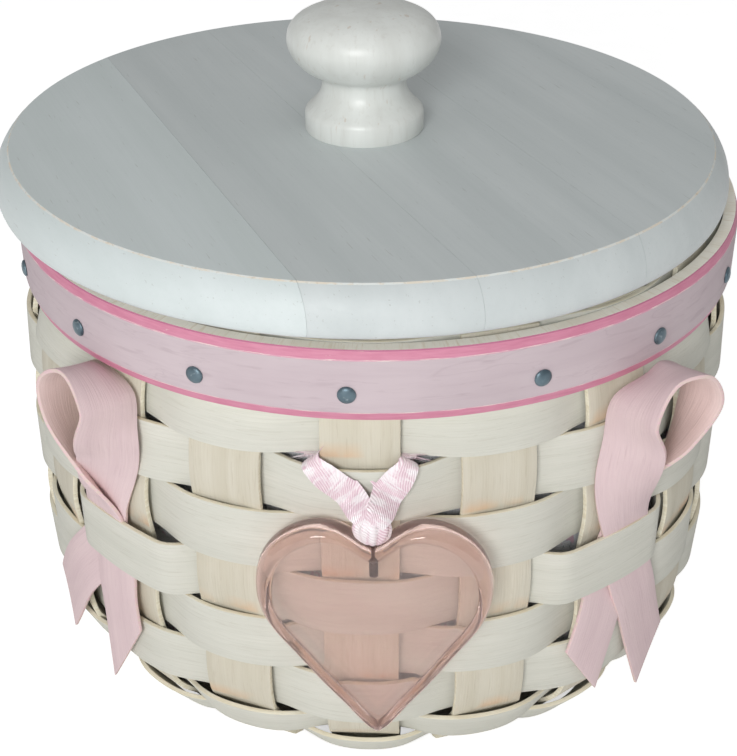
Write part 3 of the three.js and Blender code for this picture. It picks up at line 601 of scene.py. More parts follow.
# Painted light: the ribbons' inner faces take a paler copy of the pink splint, which lifts the shade they
# lie in.
PINK_BACK_PAINTED_LIGHT = splint_finish(
    "pink_splint_back_painted_light", tone(246, 223, 219), tone(230, 205, 201), tone(190, 160, 156), crack_share=0.15
)
BAND_FACE = splint_finish(
    "band_face", tone(206, 192, 196), tone(190, 174, 180), tone(160, 140, 148), streak=0.6, crack_share=0.2
)
CREAM_EDGE = edge_finish("cream_edge", tone(232, 227, 208), tone(214, 204, 178))
PINK_EDGE = edge_finish("pink_edge", tone(230, 196, 202), tone(222, 206, 192))
# Painted light: the cream of the hoops' cracked tops is pushed near white, to make up for the shade they
# take under the lid.
BAND_TOP_PAINTED_LIGHT = cracked_edge_finish("band_top_painted_light", tone(252, 248, 236), tone(236, 226, 206))
BAND_PAINT = painted_edge_finish(
    "band_paint", tone(214, 142, 166), tone(202, 124, 150), tone(230, 212, 206), 0.66
)
# A darker pink line along the top of the bevel, where it meets the cream top.
BAND_DARK_LINE = painted_edge_finish(
    "band_dark_line", tone(180, 104, 134), tone(196, 120, 150), tone(216, 196, 180), 0.62
)
BAND_WORN_LINE = painted_edge_finish(
    "band_worn_line", tone(218, 164, 182), tone(206, 146, 168), tone(236, 220, 214), 0.5
)
LID_WOOD = wood_finish(
    "painted_board", tone(208, 214, 214), tone(196, 203, 203), tone(170, 174, 170)
)
LID_WOOD_PALER = wood_finish(
    "painted_board_paler", tone(214, 222, 222), tone(204, 213, 212), tone(176, 181, 176),
    offset=(0.3, 0.1, 0),
)
PLATE_WOOD = wood_finish(
    "plate_wood", tone(214, 208, 192), tone(198, 188, 166), tone(160, 144, 118), roughness=0.6
)


# Woven wall

def wall_radius_at(height):
    """The radius of the wall's middle line at a height."""
    for (r1, z1), (r2, z2) in zip(KNOTS, KNOTS[1:]):
        if height >= z2:
            return r2 + (r1 - r2) * min((height - z2) / (z1 - z2), 1)
    return FOOT[0]


def around(angle, radius, height, sideways=0):
    """The point at an angle from the front, a radius out, and so far sideways."""
    turn = math.radians(angle)
    return Vector((
        radius * math.sin(turn) + sideways * math.cos(turn),
        -radius * math.cos(turn) + sideways * math.sin(turn),
        height,
    ))


def weave_wave(angle, row):
    """1 where a weaver of this row lies over an upright, -1 where it runs behind one."""
    swing = math.cos(math.radians(180 * angle / UPRIGHT_STEP))
    wave = math.tanh(WEAVE_SQUARENESS * swing) / math.tanh(WEAVE_SQUARENESS)
    return wave if row % 2 == 0 else -wave


def below_rim(height):
    """0 behind the rim bands, 1 from one row below them down."""
    return min(max((KNOTS[1][1] - height) / WEAVER_ROWS[1][0], 0), 1)


def weave_depth_at(height):
    at_foot = FOOT_WEAVE_DEPTH - WEAVE_DEPTH
    woven = WEAVE_DEPTH + at_foot * (1 - smoothstep(height, *FOOT_WEAVE_HEIGHTS))
    return RIM_WEAVE_DEPTH + below_rim(height) * (woven - RIM_WEAVE_DEPTH)


def swell_at(angle, height):
    """The woven wall relaxes outwards below the bands that pinch it, most on the left side."""
    angle = (angle + 180) % 360 - 180
    away = abs(angle)
    starts, full, fades, ends = SIDE_SWELL_ANGLES
    side = smoothstep(away, starts, full) * (1 - smoothstep(away, fades, ends))
    side *= SIDE_SWELL_AT_FOOT - SIDE_SWELL_LOSS * height / RIM_HEIGHT
    swell = WALL_SWELL + side * (LEFT_SWELL if angle < 0 else RIGHT_SWELL)
    swell -= HEART_DENT * (1 - smoothstep(away, *HEART_DENT_ANGLES))
    kept = FOOT_SWELL_SHARE + (1 - FOOT_SWELL_SHARE) * smoothstep(height, *FOOT_SWELL_HEIGHTS)
    return swell * below_rim(height) * kept


def bow_at(angle, height):
    """How far an upright bows out where a weaver runs behind it, or in where one runs over it."""
    for row, ((_, z1), (_, z2)) in enumerate(zip(KNOTS, KNOTS[1:])):
        if z2 <= height <= z1:
            share = (height - z2) / (z1 - z2)
            return -UPRIGHT_BOW * below_rim(height) * weave_wave(angle, row) * math.sin(math.pi * share)
    return 0


def weaver_offset(angle, row, height):
    """How far a weaver stands out. The one over the ribbon tails stays out past their edges."""
    woven = weave_depth_at(height) * weave_wave(angle, row)
    if row == RIBBON_ROW:
        back = smoothstep(abs(abs(angle) - RIBBON_ANGLE), *RIBBON_ROW_ANGLES)
        woven = RIBBON_ROW_OUT * (1 - back) + woven * back
    return woven + swell_at(angle, height)


def ripple(angle, seed, waves=5):
    """A slow wander of a hand-cut edge, from -1 to 1, that closes on itself round the basket."""
    turn = math.radians(angle)
    return noise.noise(Vector((math.cos(turn) * waves, math.sin(turn) * waves, 3.7 * seed)))


def sunk_edge(row, angle):
    """How far the heart's weight has pulled down the top edge of the weaver its ribbon runs over."""
    return TIE_GAP * (1 - smoothstep(abs(angle), *TIE_GAP_ANGLES)) if row == TIE_ROW else 0


def weaver(row):
    """One ring of flat splint, over and under the uprights. Where it lies over one, its top edge lifts."""
    width, lean = WEAVER_ROWS[row]
    top, foot = Vector(KNOTS[row]), Vector(KNOTS[row + 1])
    girth = 2 * math.pi * top.x
    turn = math.radians(lean)
    down = Vector((-math.sin(turn), -math.cos(turn)))
    out = Vector((math.cos(turn), -math.sin(turn)))
    trim = lift = 0
    if row > 0:
        fold = math.radians(abs(lean - WEAVER_ROWS[row - 1][1]))
        trim = WEAVER_TRIM + SPLINT_THICKNESS * math.sin(fold)
        lift = FOOT_EDGE_LIFT if row >= FOOT_ROW else EDGE_LIFT
    top += down * trim
    foot -= down * WEAVER_TRIM

    def place(share, across):
        angle = -180 + 360 * share
        edge = foot.lerp(top, across)
        edge -= Vector((0, across * sunk_edge(row, angle)))
        edge -= down * across * lift * max(weave_wave(angle, row), 0)
        edge += down * ripple(angle, row + 0.3 * across) * EDGE_WANDER
        spot = edge + out * weaver_offset(angle, row, edge.y)
        return around(angle, spot.x, max(spot.y, WEAVER_SHEET / 2))

    ring = lay_strip(f"weaver_{row + 1}_splint", 360, 3, place, girth, width)
    finish_with(ring, WHITE_SPLINT, CREAM_EDGE)
    recalculate(ring, 2e-5)
    thicken(ring, WEAVER_SHEET, rim=1)
    smooth(ring)
    dress(ring, BASKET, "white_splint", f"weaver_{row + 1}")


def upright(layer):
    """One long splint, from rim to rim across the floor, shaved thinner where all nine cross."""
    angle = layer * UPRIGHT_STEP
    half_step = math.radians(UPRIGHT_STEP / 2)
    half = KNOTS + [
        (FOOT[0] - FOOT_TURN, FOOT_TURN),
        (FOOT[0] - FOOT_TURN_REACH, SPLINT_THICKNESS / 2),
        (CROSSING_CLIMB_RADIUS, SPLINT_THICKNESS / 2),
        (FLOOR_CROSSING_RADIUS, (layer + 0.5) * FLOOR_SPLINT_THICKNESS),
    ]
    path = [Vector(p) for p in half] + [Vector((-r, z)) for r, z in reversed(half)]
    reach = [0]
    for a, b in zip(path, path[1:]):
        reach.append(reach[-1] + (b - a).length)
    length = reach[-1]

    def place(share, across):
        s = share * length
        i = max(k for k in range(len(reach) - 1) if reach[k] <= s)
        spot = path[i].lerp(path[i + 1], (s - reach[i]) / (reach[i + 1] - reach[i]))
        clear = max(abs(spot.x), FLOOR_CROSSING_RADIUS)
        width = min(UPRIGHT_WIDTH, 2 * clear * math.tan(half_step) - UPRIGHT_SPACING)
        bow = 0
        if spot.y > FOOT[1]:
            facing = angle if spot.x > 0 else angle + 180
            bow = bow_at(facing, spot.y) + swell_at(facing, spot.y)
        return around(angle, spot.x + math.copysign(bow, spot.x), spot.y, (across - 0.5) * width)

    strip = lay_strip(f"long_splint_{layer + 1}_strip", 220, 4, place, length, UPRIGHT_WIDTH)
    finish_with(strip, UPRIGHT_SPLINT, CREAM_EDGE)
    shaved = strip.vertex_groups.new(name="shaved")
    for vertex in strip.data.vertices:
        from_middle = vertex.co.to_2d().length / MM
        full = smoothstep(from_middle, FLOOR_CROSSING_RADIUS, CROSSING_CLIMB_RADIUS)
        shaved.add([vertex.index], SHAVED_SHARE + (1 - SHAVED_SHARE) * full, "REPLACE")
    thicken(strip, UPRIGHT_SHEET, rim=1, thinned="shaved")
    smooth(strip)
    dress(strip, BASKET, "upright_splint", f"long_splint_{layer + 1}")


for row in range(len(WEAVER_ROWS)):
    weaver(row)
for layer in range(LONG_SPLINTS):
    upright(layer)


# Rim

def hoop(name, ring, steps, wander=0):
    """A bent hoop whose section is a loop of (radius, height, finish number) points."""
    count = len(ring)

    def place(share, across):
        angle = -180 + 360 * share
        radius, height, _ = ring[round(across * count) % count]
        return around(angle, radius, height + wander * ripple(angle, height / 9, 4))

    band = lay_strip(name, steps, count, place, 2 * math.pi * ring[0][0], HOOP_GIRTH)
    for face in band.data.polygons:
        across = share_across(band, face, HOOP_GIRTH)
        face.material_index = ring[min(int(across * count), count - 1)][2]
    recalculate(band, 2e-5)
    return band


def trim_band():
    bevel = TRIM_OUTER - TRIM_BEVEL_DEPTH
    top, foot = RIM_HEIGHT, TRIM_FOOT

    def on_bevel(share):
        return (bevel + share * TRIM_BEVEL_DEPTH, share * TRIM_BEVEL_HEIGHT)

    (r1, d1), (r2, d2) = (on_bevel(share) for share in TRIM_LINE_SHARES)
    band = hoop("trim_band_hoop", [
        (TRIM_INNER, top, 2), (bevel, top, 4), (r1, top - d1, 3), (r2, top - d2, 5),
        (TRIM_OUTER, top - TRIM_BEVEL_HEIGHT, 0), (TRIM_OUTER, foot + TRIM_BEVEL_HEIGHT, 5),
        (r2, foot + d2, 3), (bevel, foot, 2), (TRIM_INNER, foot, 1),
    ], 240, TRIM_WANDER)
    # The top takes the cream pushed near white, painted light.
    finish_with(band, BAND_FACE, WHITE_SPLINT, BAND_TOP_PAINTED_LIGHT, BAND_PAINT, BAND_DARK_LINE, BAND_WORN_LINE)
    smooth(band, 20)
    dress(band, BASKET, "pink_splint", "trim_band")


def inner_band():
    band = hoop("inner_band_hoop", [
        (INNER_BAND_INNER, INNER_BAND_TOP, 1), (INNER_BAND_OUTER, INNER_BAND_TOP, 0),
        (INNER_BAND_OUTER, INNER_BAND_FOOT, 1), (INNER_BAND_INNER, INNER_BAND_FOOT, 0),
    ], 180)
    # Its top takes the cream pushed near white, painted light.
    finish_with(band, WHITE_SPLINT, BAND_TOP_PAINTED_LIGHT)
    round_edges(band, 0.4)
    apply_modifiers(band)
    smooth(band)
    dress(band, BASKET, "white_splint", "inner_band")


def tack_steel():
    finish = Finish("tack_steel")
    scuffs = finish.noise("Object", (900, 900, 900), detail=4)
    patches = finish.noise("Object", (260, 260, 260), detail=3)
    colour = finish.tinted(tone(82, 100, 110), tone(104, 122, 130), patches, 0.35, 0.7, 1)
    colour = finish.tinted(colour, tone(150, 160, 164), scuffs, 0.6, 0.68, 0.6)
    finish.bump(scuffs, strength=0.3, distance=0.0002)
    return finish.done(colour, 0.42, Metallic=0.55)


def tacks():
    """One tack is turned, then copied round the band with its own mesh each time."""
    profile = [
        (0, -2.1), (0.25, -2.1), (0.7, -1.3), (0.7, -0.05), (1.7, -0.05), (2.0, 0.05), (2.04, 0.2),
        (1.98, 0.36), (1.7, 0.6), (1.3, 0.78), (0.8, 0.9), (0.35, 0.95), (0, 0.96),
    ]
    first = finish_with(spun("tack_model", profile, 28), tack_steel())
    smooth(first, 45)
    for i in range(TACK_COUNT):
        stray = TACK_STRAY[i] if i < len(TACK_STRAY) else 0
        angle = FIRST_TACK_ANGLE + 360 * i / TACK_COUNT + stray
        tack = first.copy()
        tack.data = first.data.copy()
        tack.name = f"tack_{i + 1}_head"
        bpy.context.collection.objects.link(tack)
        outwards = Matrix.Rotation(math.radians(angle), 4, "Z") @ Matrix.Rotation(math.radians(90), 4, "X")
        place = around(angle, TRIM_OUTER + GLUE_GAP, TACK_HEIGHT)
        move_mesh(tack, shifted(place) @ outwards)
        dress(tack, BASKET, "tack_steel", f"tack_{i + 1}")
    take(first)
    bpy.ops.object.delete()


trim_band()
inner_band()
tacks()


# Lid

def lid_profile():
    """From the middle of the underside, round the edge, to the middle of the top."""
    loop_below, loop_above = LID_RADIUS - 9, LID_RADIUS - 12
    profile = [(0, 0), (loop_below, 0)]
    for i in range(7):
        turn = math.radians(90) * i / 6
        inwards = LOWER_ROUND_DEPTH * (1 - math.sin(turn))
        profile.append((LID_RADIUS - inwards, LOWER_ROUND_HEIGHT * (1 - math.cos(turn))))
    arc = math.radians(UPPER_ROUND_ARC)
    rise = LID_THICKNESS - LOWER_ROUND_HEIGHT - ARRIS_HEIGHT
    for i in range(1, 9):
        turn = arc * i / 8
        inwards = UPPER_ROUND_DEPTH * (1 - math.cos(turn)) / (1 - math.cos(arc))
        upwards = rise * math.sin(turn) / math.sin(arc)
        profile.append((LID_RADIUS - inwards, LOWER_ROUND_HEIGHT + upwards))
    flat_radius = LID_RADIUS - UPPER_ROUND_DEPTH - ARRIS_DEPTH
    return profile + [(flat_radius, LID_THICKNESS), (loop_above, LID_THICKNESS), (0, LID_THICKNESS)]


def worn_arris_finish():
    """Along the lid's arris the wash is rubbed through to beige wood."""
    finish = Finish("lid_arris")
    rubs = finish.noise("Object", (240, 240, 900), detail=5, roughness=0.75)
    grain = finish.noise("Object", (800, 800, 800), detail=3)
    colour = finish.tinted(tone(220, 224, 221), tone(222, 212, 195), rubs, 0.46, 0.56, 0.9)
    colour = finish.tinted(colour, tone(196, 184, 164), grain, 0.58, 0.7, 0.6)
    finish.bump(rubs, strength=0.3, distance=0.0003)
    return finish.done(colour, 0.6)


def lid_boards():
    """The lid is turned once, then sawn along its seams into the five boards it was glued from."""
    arris = worn_arris_finish()
    half_width = LID_RADIUS * (1 - LID_SHRINKAGE)
    seams = [share * half_width for share in (-2, *BOARD_SEAMS, 2)]
    lie = Matrix.Rotation(math.radians(LID_GRAIN_ANGLE), 4, "Z")
    across = lie @ Vector((0, 1, 0))
    shrink = Matrix.Diagonal((1, 1 - LID_SHRINKAGE, 1, 1))
    middle = LID_SHIFT + Vector((0, 0, LID_FOOT))
    for i, (low, high) in enumerate(zip(seams, seams[1:])):
        board = spun(f"lid_board_{i + 1}_wood", lid_profile(), 168)
        move_mesh(board, shifted(middle) @ lie @ shrink)
        for seam, side, keep in ((low, 0.5, "inner"), (high, -0.5, "outer")):
            if abs(seam) > half_width:
                continue
            edit(board)
            bpy.ops.mesh.bisect(
                plane_co=(middle + across * (seam + side * GLUE_GAP)) * MM, plane_no=across,
                use_fill=True, clear_inner=keep == "inner", clear_outer=keep == "outer",
            )
            stop_editing()
        finish_with(board, LID_WOOD_PALER if i == 0 else LID_WOOD, arris)
        recalculate(board)
        for face in board.data.polygons:
            below_top = LID_TOP - face.center.z / MM
            on_arris = WORN_ARRIS[0] > below_top > WORN_ARRIS[1] and face.normal.z > 0.4
            face.material_index = 1 if on_arris else 0
        if i == KNOB_BOARD:
            drill(board, KNOB_PLACE.x, KNOB_PLACE.y, SCREW_HOLE, LID_FOOT - 2, LID_TOP + 2)
        smooth(board, 30)
        dress(board, LID, "painted_board", f"lid_board_{i + 1}")


def seat_plate():
    foot = LID_FOOT - SEAT_PLATE_THICKNESS
    radius = SEAT_PLATE_RADIUS
    plate = spun("lid_seat_plate_wood", [
        (0, foot), (radius - 1, foot), (radius - 0.3, foot + 0.3), (radius, foot + 1),
        (radius, LID_FOOT), (0, LID_FOOT),
    ], 128)
    move_mesh(plate, shifted(LID_SHIFT))
    finish_with(plate, PLATE_WOOD)
    recalculate(plate)
    drill(plate, KNOB_PLACE.x, KNOB_PLACE.y, SCREW_HOLE, foot - 2, LID_FOOT + 2)
    smooth(plate, 30)
    dress(plate, LID, "painted_board", "lid_seat_plate")


def knob_finish():
    finish = Finish("painted_knob")
    rings = finish.noise("Object", (150, 150, 20), detail=4, distortion=0.5)
    grain = finish.noise("Object", (900, 900, 60), detail=4, roughness=0.65)
    marks = finish.noise("Object", (420, 420, 55), offset=(1, 2, 3), detail=2)
    pale, deep = tone(226, 229, 225), tone(212, 214, 209)
    colour = finish.tinted(pale, deep, rings, 0.38, 0.68, 0.7)
    colour = finish.tinted(colour, tone(198, 196, 188), grain, 0.55, 0.75, 0.4)
    colour = finish.tinted(colour, tone(192, 172, 150), marks, 0.67, 0.72, 0.4)
    finish.bump(grain, strength=0.12, distance=0.0003)
    return finish.done(colour, 0.42, Coat_Weight=0.15, Coat_Roughness=0.25)


def knob():
    neck = eased_route([
        (14.1, 5.7), (12.3, 7.5), (10.9, 9.6), (10.4, 11.6), (10.6, 13.2), (11.6, 14.4),
    ])
    head = eased_route([
        (13.4, 15.1), (15.6, 16.6), (17.6, 18.9), (18.65, 21.4), (18.75, 23.4), (18.1, 25.6),
        (16.4, 27.6), (13.4, 29.2), (9.4, 30.3), (4.8, 30.9), (0, KNOB_HEIGHT),
    ])
    profile = [
        (0, KNOB_HOLE_DEPTH), (SCREW_HOLE, KNOB_HOLE_DEPTH), (SCREW_HOLE, 0), (14.5, 0), (14.8, 0.4),
        (14.8, 4.3), (14.6, 5.1),
    ]
    profile += [neck(i / 12) for i in range(13)]
    profile += [head(i / 26) for i in range(27)]
    turning = spun("knob_turning", profile, 96)
    move_mesh(turning, shifted(KNOB_PLACE + Vector((0, 0, LID_TOP))))
    finish_with(turning, knob_finish())
    recalculate(turning)
    smooth(turning, 40)
    dress(turning, LID, "painted_knob", "knob")


def knob_screw():
    finish = Finish("screw_steel")
    turning = finish.noise("Object", (500, 500, 4000), detail=3)
    colour = finish.tinted(tone(178, 178, 174), tone(140, 140, 138), turning, 0.35, 0.7, 1)
    finish.bump(turning, strength=0.25, distance=0.0001)
    steel = finish.done(colour, 0.35, Metallic=0.9)
    length = SEAT_PLATE_THICKNESS + LID_THICKNESS + SCREW_BITE
    radius, thread_depth, half_pitch = 2.1, 0.25, 0.6
    profile = [
        (0, -1.5), (0.5, -1.5), (0.7, -2.6), (2.9, -2.5), (3.9, -1.7), (4.2, -0.9), (4.2, 0), (radius, 0),
    ]
    profile += [(radius - thread_depth * (i % 2), 4 + half_pitch * i) for i in range(38)]
    profile += [(2.0, length - 4), (0, length)]
    screw = finish_with(spun("knob_screw_turning", profile, 24), steel)
    move_mesh(screw, shifted(KNOB_PLACE + Vector((0, 0, LID_FOOT - SEAT_PLATE_THICKNESS))))
    smooth(screw, 30)
    dress(screw, LID, "screw_steel", "knob_screw")


lid_boards()
seat_plate()
knob()
knob_screw()


# Splint ribbons

# The angle round the wall, how far each end is cut aslant, and the route. Each of its points is how far
# sideways along the wall, how high, how far out from the wall's middle line, and how far the strip is
# turned out of the wall, in degrees.
RIBBON_ROUTES = {
    "left": (-RIBBON_ANGLE, (10, 22), (
        (-27.5, 26.5, 6.6, 0), (-18.4, 42, 5.1, 0), (-8.2, 56, 2, 0), (-5.5, 65, 2.1, 0),
        (-3.2, 74, 4.6, 15), (3.5, 88.4, 8.5, 40), (6.6, 97.3, 11.3, 62), (7.3, 105.5, 11, 86),
        (0.2, 110.4, 10.1, 111), (-7, 107.5, 10.4, 92), (-9.1, 97.8, 9.9, 66), (-7.4, 83, 7.1, 36),
        (-4.8, 67, 3.5, 1), (-2.5, 57, 3.5, 0), (-2.6, 45, 4.3, 0), (-2.2, 34, 5.3, 0),
        (-1.7, 24, 6.2, 0),
    )),
    "right": (RIBBON_ANGLE, (12, 10), (
        (-7.8, 28.4, 5.8, 0), (-3, 43.7, 3.8, 0), (0, 54, 2.1, 0), (2.5, 65, 2.1, 0),
        (7.5, 78.7, 4.2, 13), (10.6, 95, 12.1, 50), (10.6, 107.5, 16.1, 74), (5.7, 113.5, 15.6, 100),
        (0.8, 112.4, 14.3, 117), (-4.8, 106, 12.9, 92), (-3.3, 95.7, 11.2, 63), (-1.8, 84, 7.7, 35),
        (3.2, 67, 3.5, 1), (5, 55.5, 3.6, 0), (9.3, 43, 4.1, 0), (13.8, 31, 4.7, 0),
        (18.6, 17.5, 7.5, 0),
    )),
}


def ribbon(side):
    """A loop over two crossed tails, flat on the wall at the crossing and edge-on to it above."""
    angle, cuts, points = RIBBON_ROUTES[side]
    behind_weaver = wall_radius_at(KNOTS[RIBBON_ROW][1])

    def middle(along, height, out):
        """On the wall the strip lies over the swollen splints."""
        proud = RIBBON_LIFT * (1 - smoothstep(abs(height - RIBBON_CROSSING), *RIBBON_LIFT_HEIGHTS))
        spot_angle = angle + math.degrees(along / behind_weaver)
        proud += swell_at(spot_angle, height) - swell_at(0, height)
        return around(spot_angle, wall_radius_at(height) + out + proud, height)

    middles = eased_route([middle(along, height, out) for along, height, out, _ in points])
    turns = eased_route([(math.radians(turn), 0, 0) for *_, turn in points])
    steps = 400
    reach = [0]
    for i in range(steps):
        reach.append(reach[-1] + (middles((i + 1) / steps) - middles(i / steps)).length)
    length = reach[-1]

    def share_at(distance):
        distance = min(max(distance, 0), length)
        i = min(sum(1 for r in reach[1:] if r < distance), steps - 1)
        return (i + (distance - reach[i]) / max(reach[i + 1] - reach[i], 1e-6)) / steps

    def place(share, across):
        side_of = across - 0.5
        first = cuts[0] * side_of
        last = length - cuts[1] * side_of
        distance = first + share * (last - first)
        t = share_at(distance)
        heading = heading_at(middles, t, 0.001)
        here = middles(t) + heading * (min(distance, 0) + max(distance - length, 0))
        turn = turns(t).x
        axis_out = Vector((here.x, here.y, 0)).normalized()
        on_wall = axis_out.cross(heading).normalized()
        outwards = heading.cross(on_wall).normalized()
        over = on_wall * math.cos(turn) + outwards * math.sin(turn)
        return here + over * side_of * RIBBON_WIDTH

    strip = lay_strip(f"ribbon_{side}_splint", 190, 4, place, length, RIBBON_WIDTH)
    # The back takes the paler pink, painted light on the shaded inner faces.
    finish_with(strip, PINK_SPLINT, PINK_EDGE, PINK_BACK_PAINTED_LIGHT)
    thicken(strip, RIBBON_THICKNESS, rim=1, back=2, bevel=0.18)
    smooth(strip)
    dress(strip, BASKET, "pink_splint", f"ribbon_loop_{side}")


ribbon("left")
ribbon("right")


# Satin tie

def satin_finish():
    """Woven pink satin: fine slanting threads, with painted white highlights in patches along the ribbon.
    """
    finish = Finish("satin")
    threads = finish.waves(finish.where("UV", turn=(0, 0, math.radians(62))), 640, 1.6, detail=2)
    rows = finish.noise("UV", (260, 2600, 1), detail=3)
    clouds = finish.noise("Object", (240, 240, 240), detail=2)
    # Painted highlights: pale patches along the ribbon stand in for the satin's shine.
    painted_shine = finish.noise("UV", (420, 130, 1), offset=(2, 5, 0), detail=4, roughness=0.65)
    pale, deep = tone(246, 228, 233), tone(222, 186, 200)
    colour = finish.tinted(pale, deep, threads, 0.25, 0.75, 0.9)
    colour = finish.tinted(colour, tone(248, 234, 239), rows, 0.5, 0.7, 0.45)
    colour = finish.tinted(colour, tone(214, 176, 192), clouds, 0.48, 0.74, 0.45)
    colour = finish.tinted(colour, tone(252, 246, 248), painted_shine, 0.48, 0.58, 0.8)
    finish.bump(threads, strength=0.5, distance=0.0003)
    return finish.done(
        colour, 0.3, Sheen_Weight=0.2, Sheen_Roughness=0.4, Specular_IOR_Level=0.75, Anisotropic=0.4
    )


SATIN = satin_finish()


def folded(across, layers, width, gap):
    """Where a ribbon folded lengthwise into layers lies: how far sideways and how far out."""
    reach = across * layers
    layer = min(int(reach), layers - 1)
    share = reach - layer
    sideways = share if layer % 2 == 0 else 1 - share
    return (sideways - 0.5) * width, (reach - layers / 2) * gap


def front_of_weaver(x, height):
    """How far forward the front face of the weaver under the tie lies, beside the middle by x."""
    angle = math.degrees(math.asin(x / wall_radius_at(height)))
    reach = wall_radius_at(height) + weaver_offset(angle, TIE_ROW, height) + WEAVER_SHEET / 2
    return math.sqrt(reach ** 2 - x * x)


def satin_strand(side, name):
    """From the gap over the weaver's top edge down to the gathered end, the ribbon folded in two."""
    edge_height = KNOTS[TIE_ROW][1] - TIE_GAP
    gap_height = edge_height + 1.6
    gathered_height = WRAP_FOOT + 0.62 * WRAP_HEIGHT
    start = Vector((side * (TIE_SIDE + 0.6), gap_height))
    end = Vector((HEART_X + side * 0.7, gathered_height))
    inside = wall_radius_at(edge_height) + 1.6
    half_ribbon, clearance = 2.4, 0.8

    def middle(share):
        """Out through the gap, over the weaver's edge and down its front to the heart."""
        down = smoothstep(share, 0.06, 0.3) * 0.25 + 0.75 * max(share - 0.1, 0) / 0.9
        x, z = start.lerp(end, down)
        edges = (x - half_ribbon, x, x + half_ribbon)
        on_weaver = max(front_of_weaver(spot, min(z, edge_height)) for spot in edges) + clearance
        depth = inside + (on_weaver - inside) * smoothstep(share, -0.04, 0.2)
        depth += (HEART_DEPTH + 1 - depth) * smoothstep(share, 0.5, 0.95)
        return Vector((x, -depth, z))

    slant = (end - start).normalized()
    over = Vector((-slant.y, 0, slant.x)) * -side

    def place(share, across):
        out = over.cross(heading_at(middle, share)).normalized()
        out = -out if out.z - out.y < 0 else out
        opening = (0.55 + 0.45 * smoothstep(share, 0, 0.25)) * (1 - 0.3 * smoothstep(share, 0.75, 1))
        sideways, layer = folded(across, layers=2, width=STRAND_WIDTH * opening, gap=0.45)
        crown = 0.5 * math.cos(math.pi * sideways / 6) + 0.25 * math.sin(8 * share + side) * sideways / 2.9
        in_front = 0.9 * smoothstep(share, 0.5, 0.8) if side > 0 else 0
        return middle(share) + over * sideways + out * (layer + crown) - Vector((0, in_front, 0))

    strand = lay_strip(name, 80, 20, place, u_length=24, v_width=SATIN_WIDTH)
    finish_with(strand, SATIN)
    thicken(strand, 0.12, bevel=0)
    smooth(strand, 60)
    dress(strand, HEART, "satin", "satin_strands")


def gathered_end():
    """The ribbon drawn together round the eyelet of the heart, in soft upright pleats."""
    outline = eased_route([
        (0.4, 0.03), (0.6, 0), (0.8, 0.1), (0.95, 0.26), (1.0, 0.4), (0.94, 0.54), (0.78, 0.66),
        (0.55, 0.78), (0.4, 0.88),
    ])

    def place(share, across):
        turn = 2 * math.pi * share
        width, height = outline(across)
        pleat = 1 + 0.08 * math.sin(9 * turn + 1.6 * height) + 0.07 * math.sin(5 * turn - 2.4 * height)
        return Vector((
            HEART_X + WRAP_HALF_WIDTH * width * pleat * math.cos(turn),
            -HEART_DEPTH - WRAP_HALF_DEPTH * width * pleat * math.sin(turn),
            WRAP_FOOT + WRAP_HEIGHT * height,
        ))

    bundle = lay_strip("satin_gathered_end", 96, 18, place, u_length=20, v_width=8)
    finish_with(bundle, SATIN)
    recalculate(bundle, 1e-5)
    thicken(bundle, 0.3, bevel=0)
    smooth(bundle, 60)
    dress(bundle, HEART, "satin")


def satin_loop():
    """The fixed part of the ribbon, gathered narrow where it runs behind the front upright."""
    behind = wall_radius_at(KNOTS[TIE_ROW][1]) - SPLINT_THICKNESS / 2 - 0.65
    low = KNOTS[TIE_ROW][1] - 2.3
    half = [
        (0, behind, low), (4, behind, low), (8.2, behind, low + 0.1),
        (TIE_SIDE - 0.5, behind + 0.1, low + 0.8), (TIE_SIDE, behind + 0.4, low + 1.9),
        (TIE_SIDE, behind + 1.4, low + 2.7), (TIE_SIDE, behind + 3, low + 2.9),
    ]
    left = [(-x, -radius, z) for x, radius, z in reversed(half[1:])]
    run = eased_route(left + [(x, -radius, z) for x, radius, z in half])

    def place(share, across):
        heading = heading_at(run, share)
        over = Vector((0, -1, 0)).cross(heading)
        over = Vector((0, 0, 1)).cross(heading) if over.length < 0.5 else over
        over = over.normalized()
        out = heading.cross(over).normalized()
        sideways, layer = folded(across, layers=4, width=2.3, gap=0.13)
        return run(share) + over * sideways + out * layer

    loop = lay_strip("satin_tie_ribbon", 60, 16, place, u_length=30, v_width=SATIN_WIDTH)
    finish_with(loop, SATIN)
    thicken(loop, 0.08, bevel=0)
    smooth(loop, 60)
    dress(loop, BASKET, "satin", "satin_tie")


satin_strand(-1, "satin_strand_left")
satin_strand(1, "satin_strand_right")
gathered_end()
satin_loop()


# Glass heart

HEART_TILT = math.radians(-1)
HALF_HEART = (
    (0, 0), (0.03, 0.006), (0.1, 0.035), (0.27, 0.139), (0.49, 0.27), (0.71, 0.414), (0.89, 0.532),
    (0.965, 0.604), (1, 0.69), (0.985, 0.782), (0.92, 0.864), (0.8, 0.932), (0.63, 0.98),
    (0.45, 0.998), (0.3, 0.985), (0.175, 0.95), (0.075, 0.913), (0, HEART_CLEFT),
)


def rose_glass(name, pale, deep, bend, clear):
    """Tinted glass, with its tint and polish a little uneven from pouring."""
    finish = Finish(name)
    streaks = finish.noise("Object", (40, 40, 90), detail=3, distortion=0.8)
    ripples = finish.noise("Object", (55, 55, 55), detail=2)
    colour = finish.tinted(pale, deep, streaks, 0.35, 0.7, 1)
    polish = finish.ramp(ripples, (0.3, 0.0), (0.8, 0.02))
    finish.bump(ripples, strength=0.03, distance=0.0006)
    return finish.done(colour, polish, Transmission_Weight=clear, IOR=bend, Specular_IOR_Level=0.6)


def tilt(piece):
    """The heart hangs a little askew from its ring."""
    pivot = Vector((HEART_X, -HEART_DEPTH, RING_HEIGHT))
    move_mesh(piece, shifted(pivot) @ Matrix.Rotation(HEART_TILT, 4, "Y") @ shifted(-pivot))


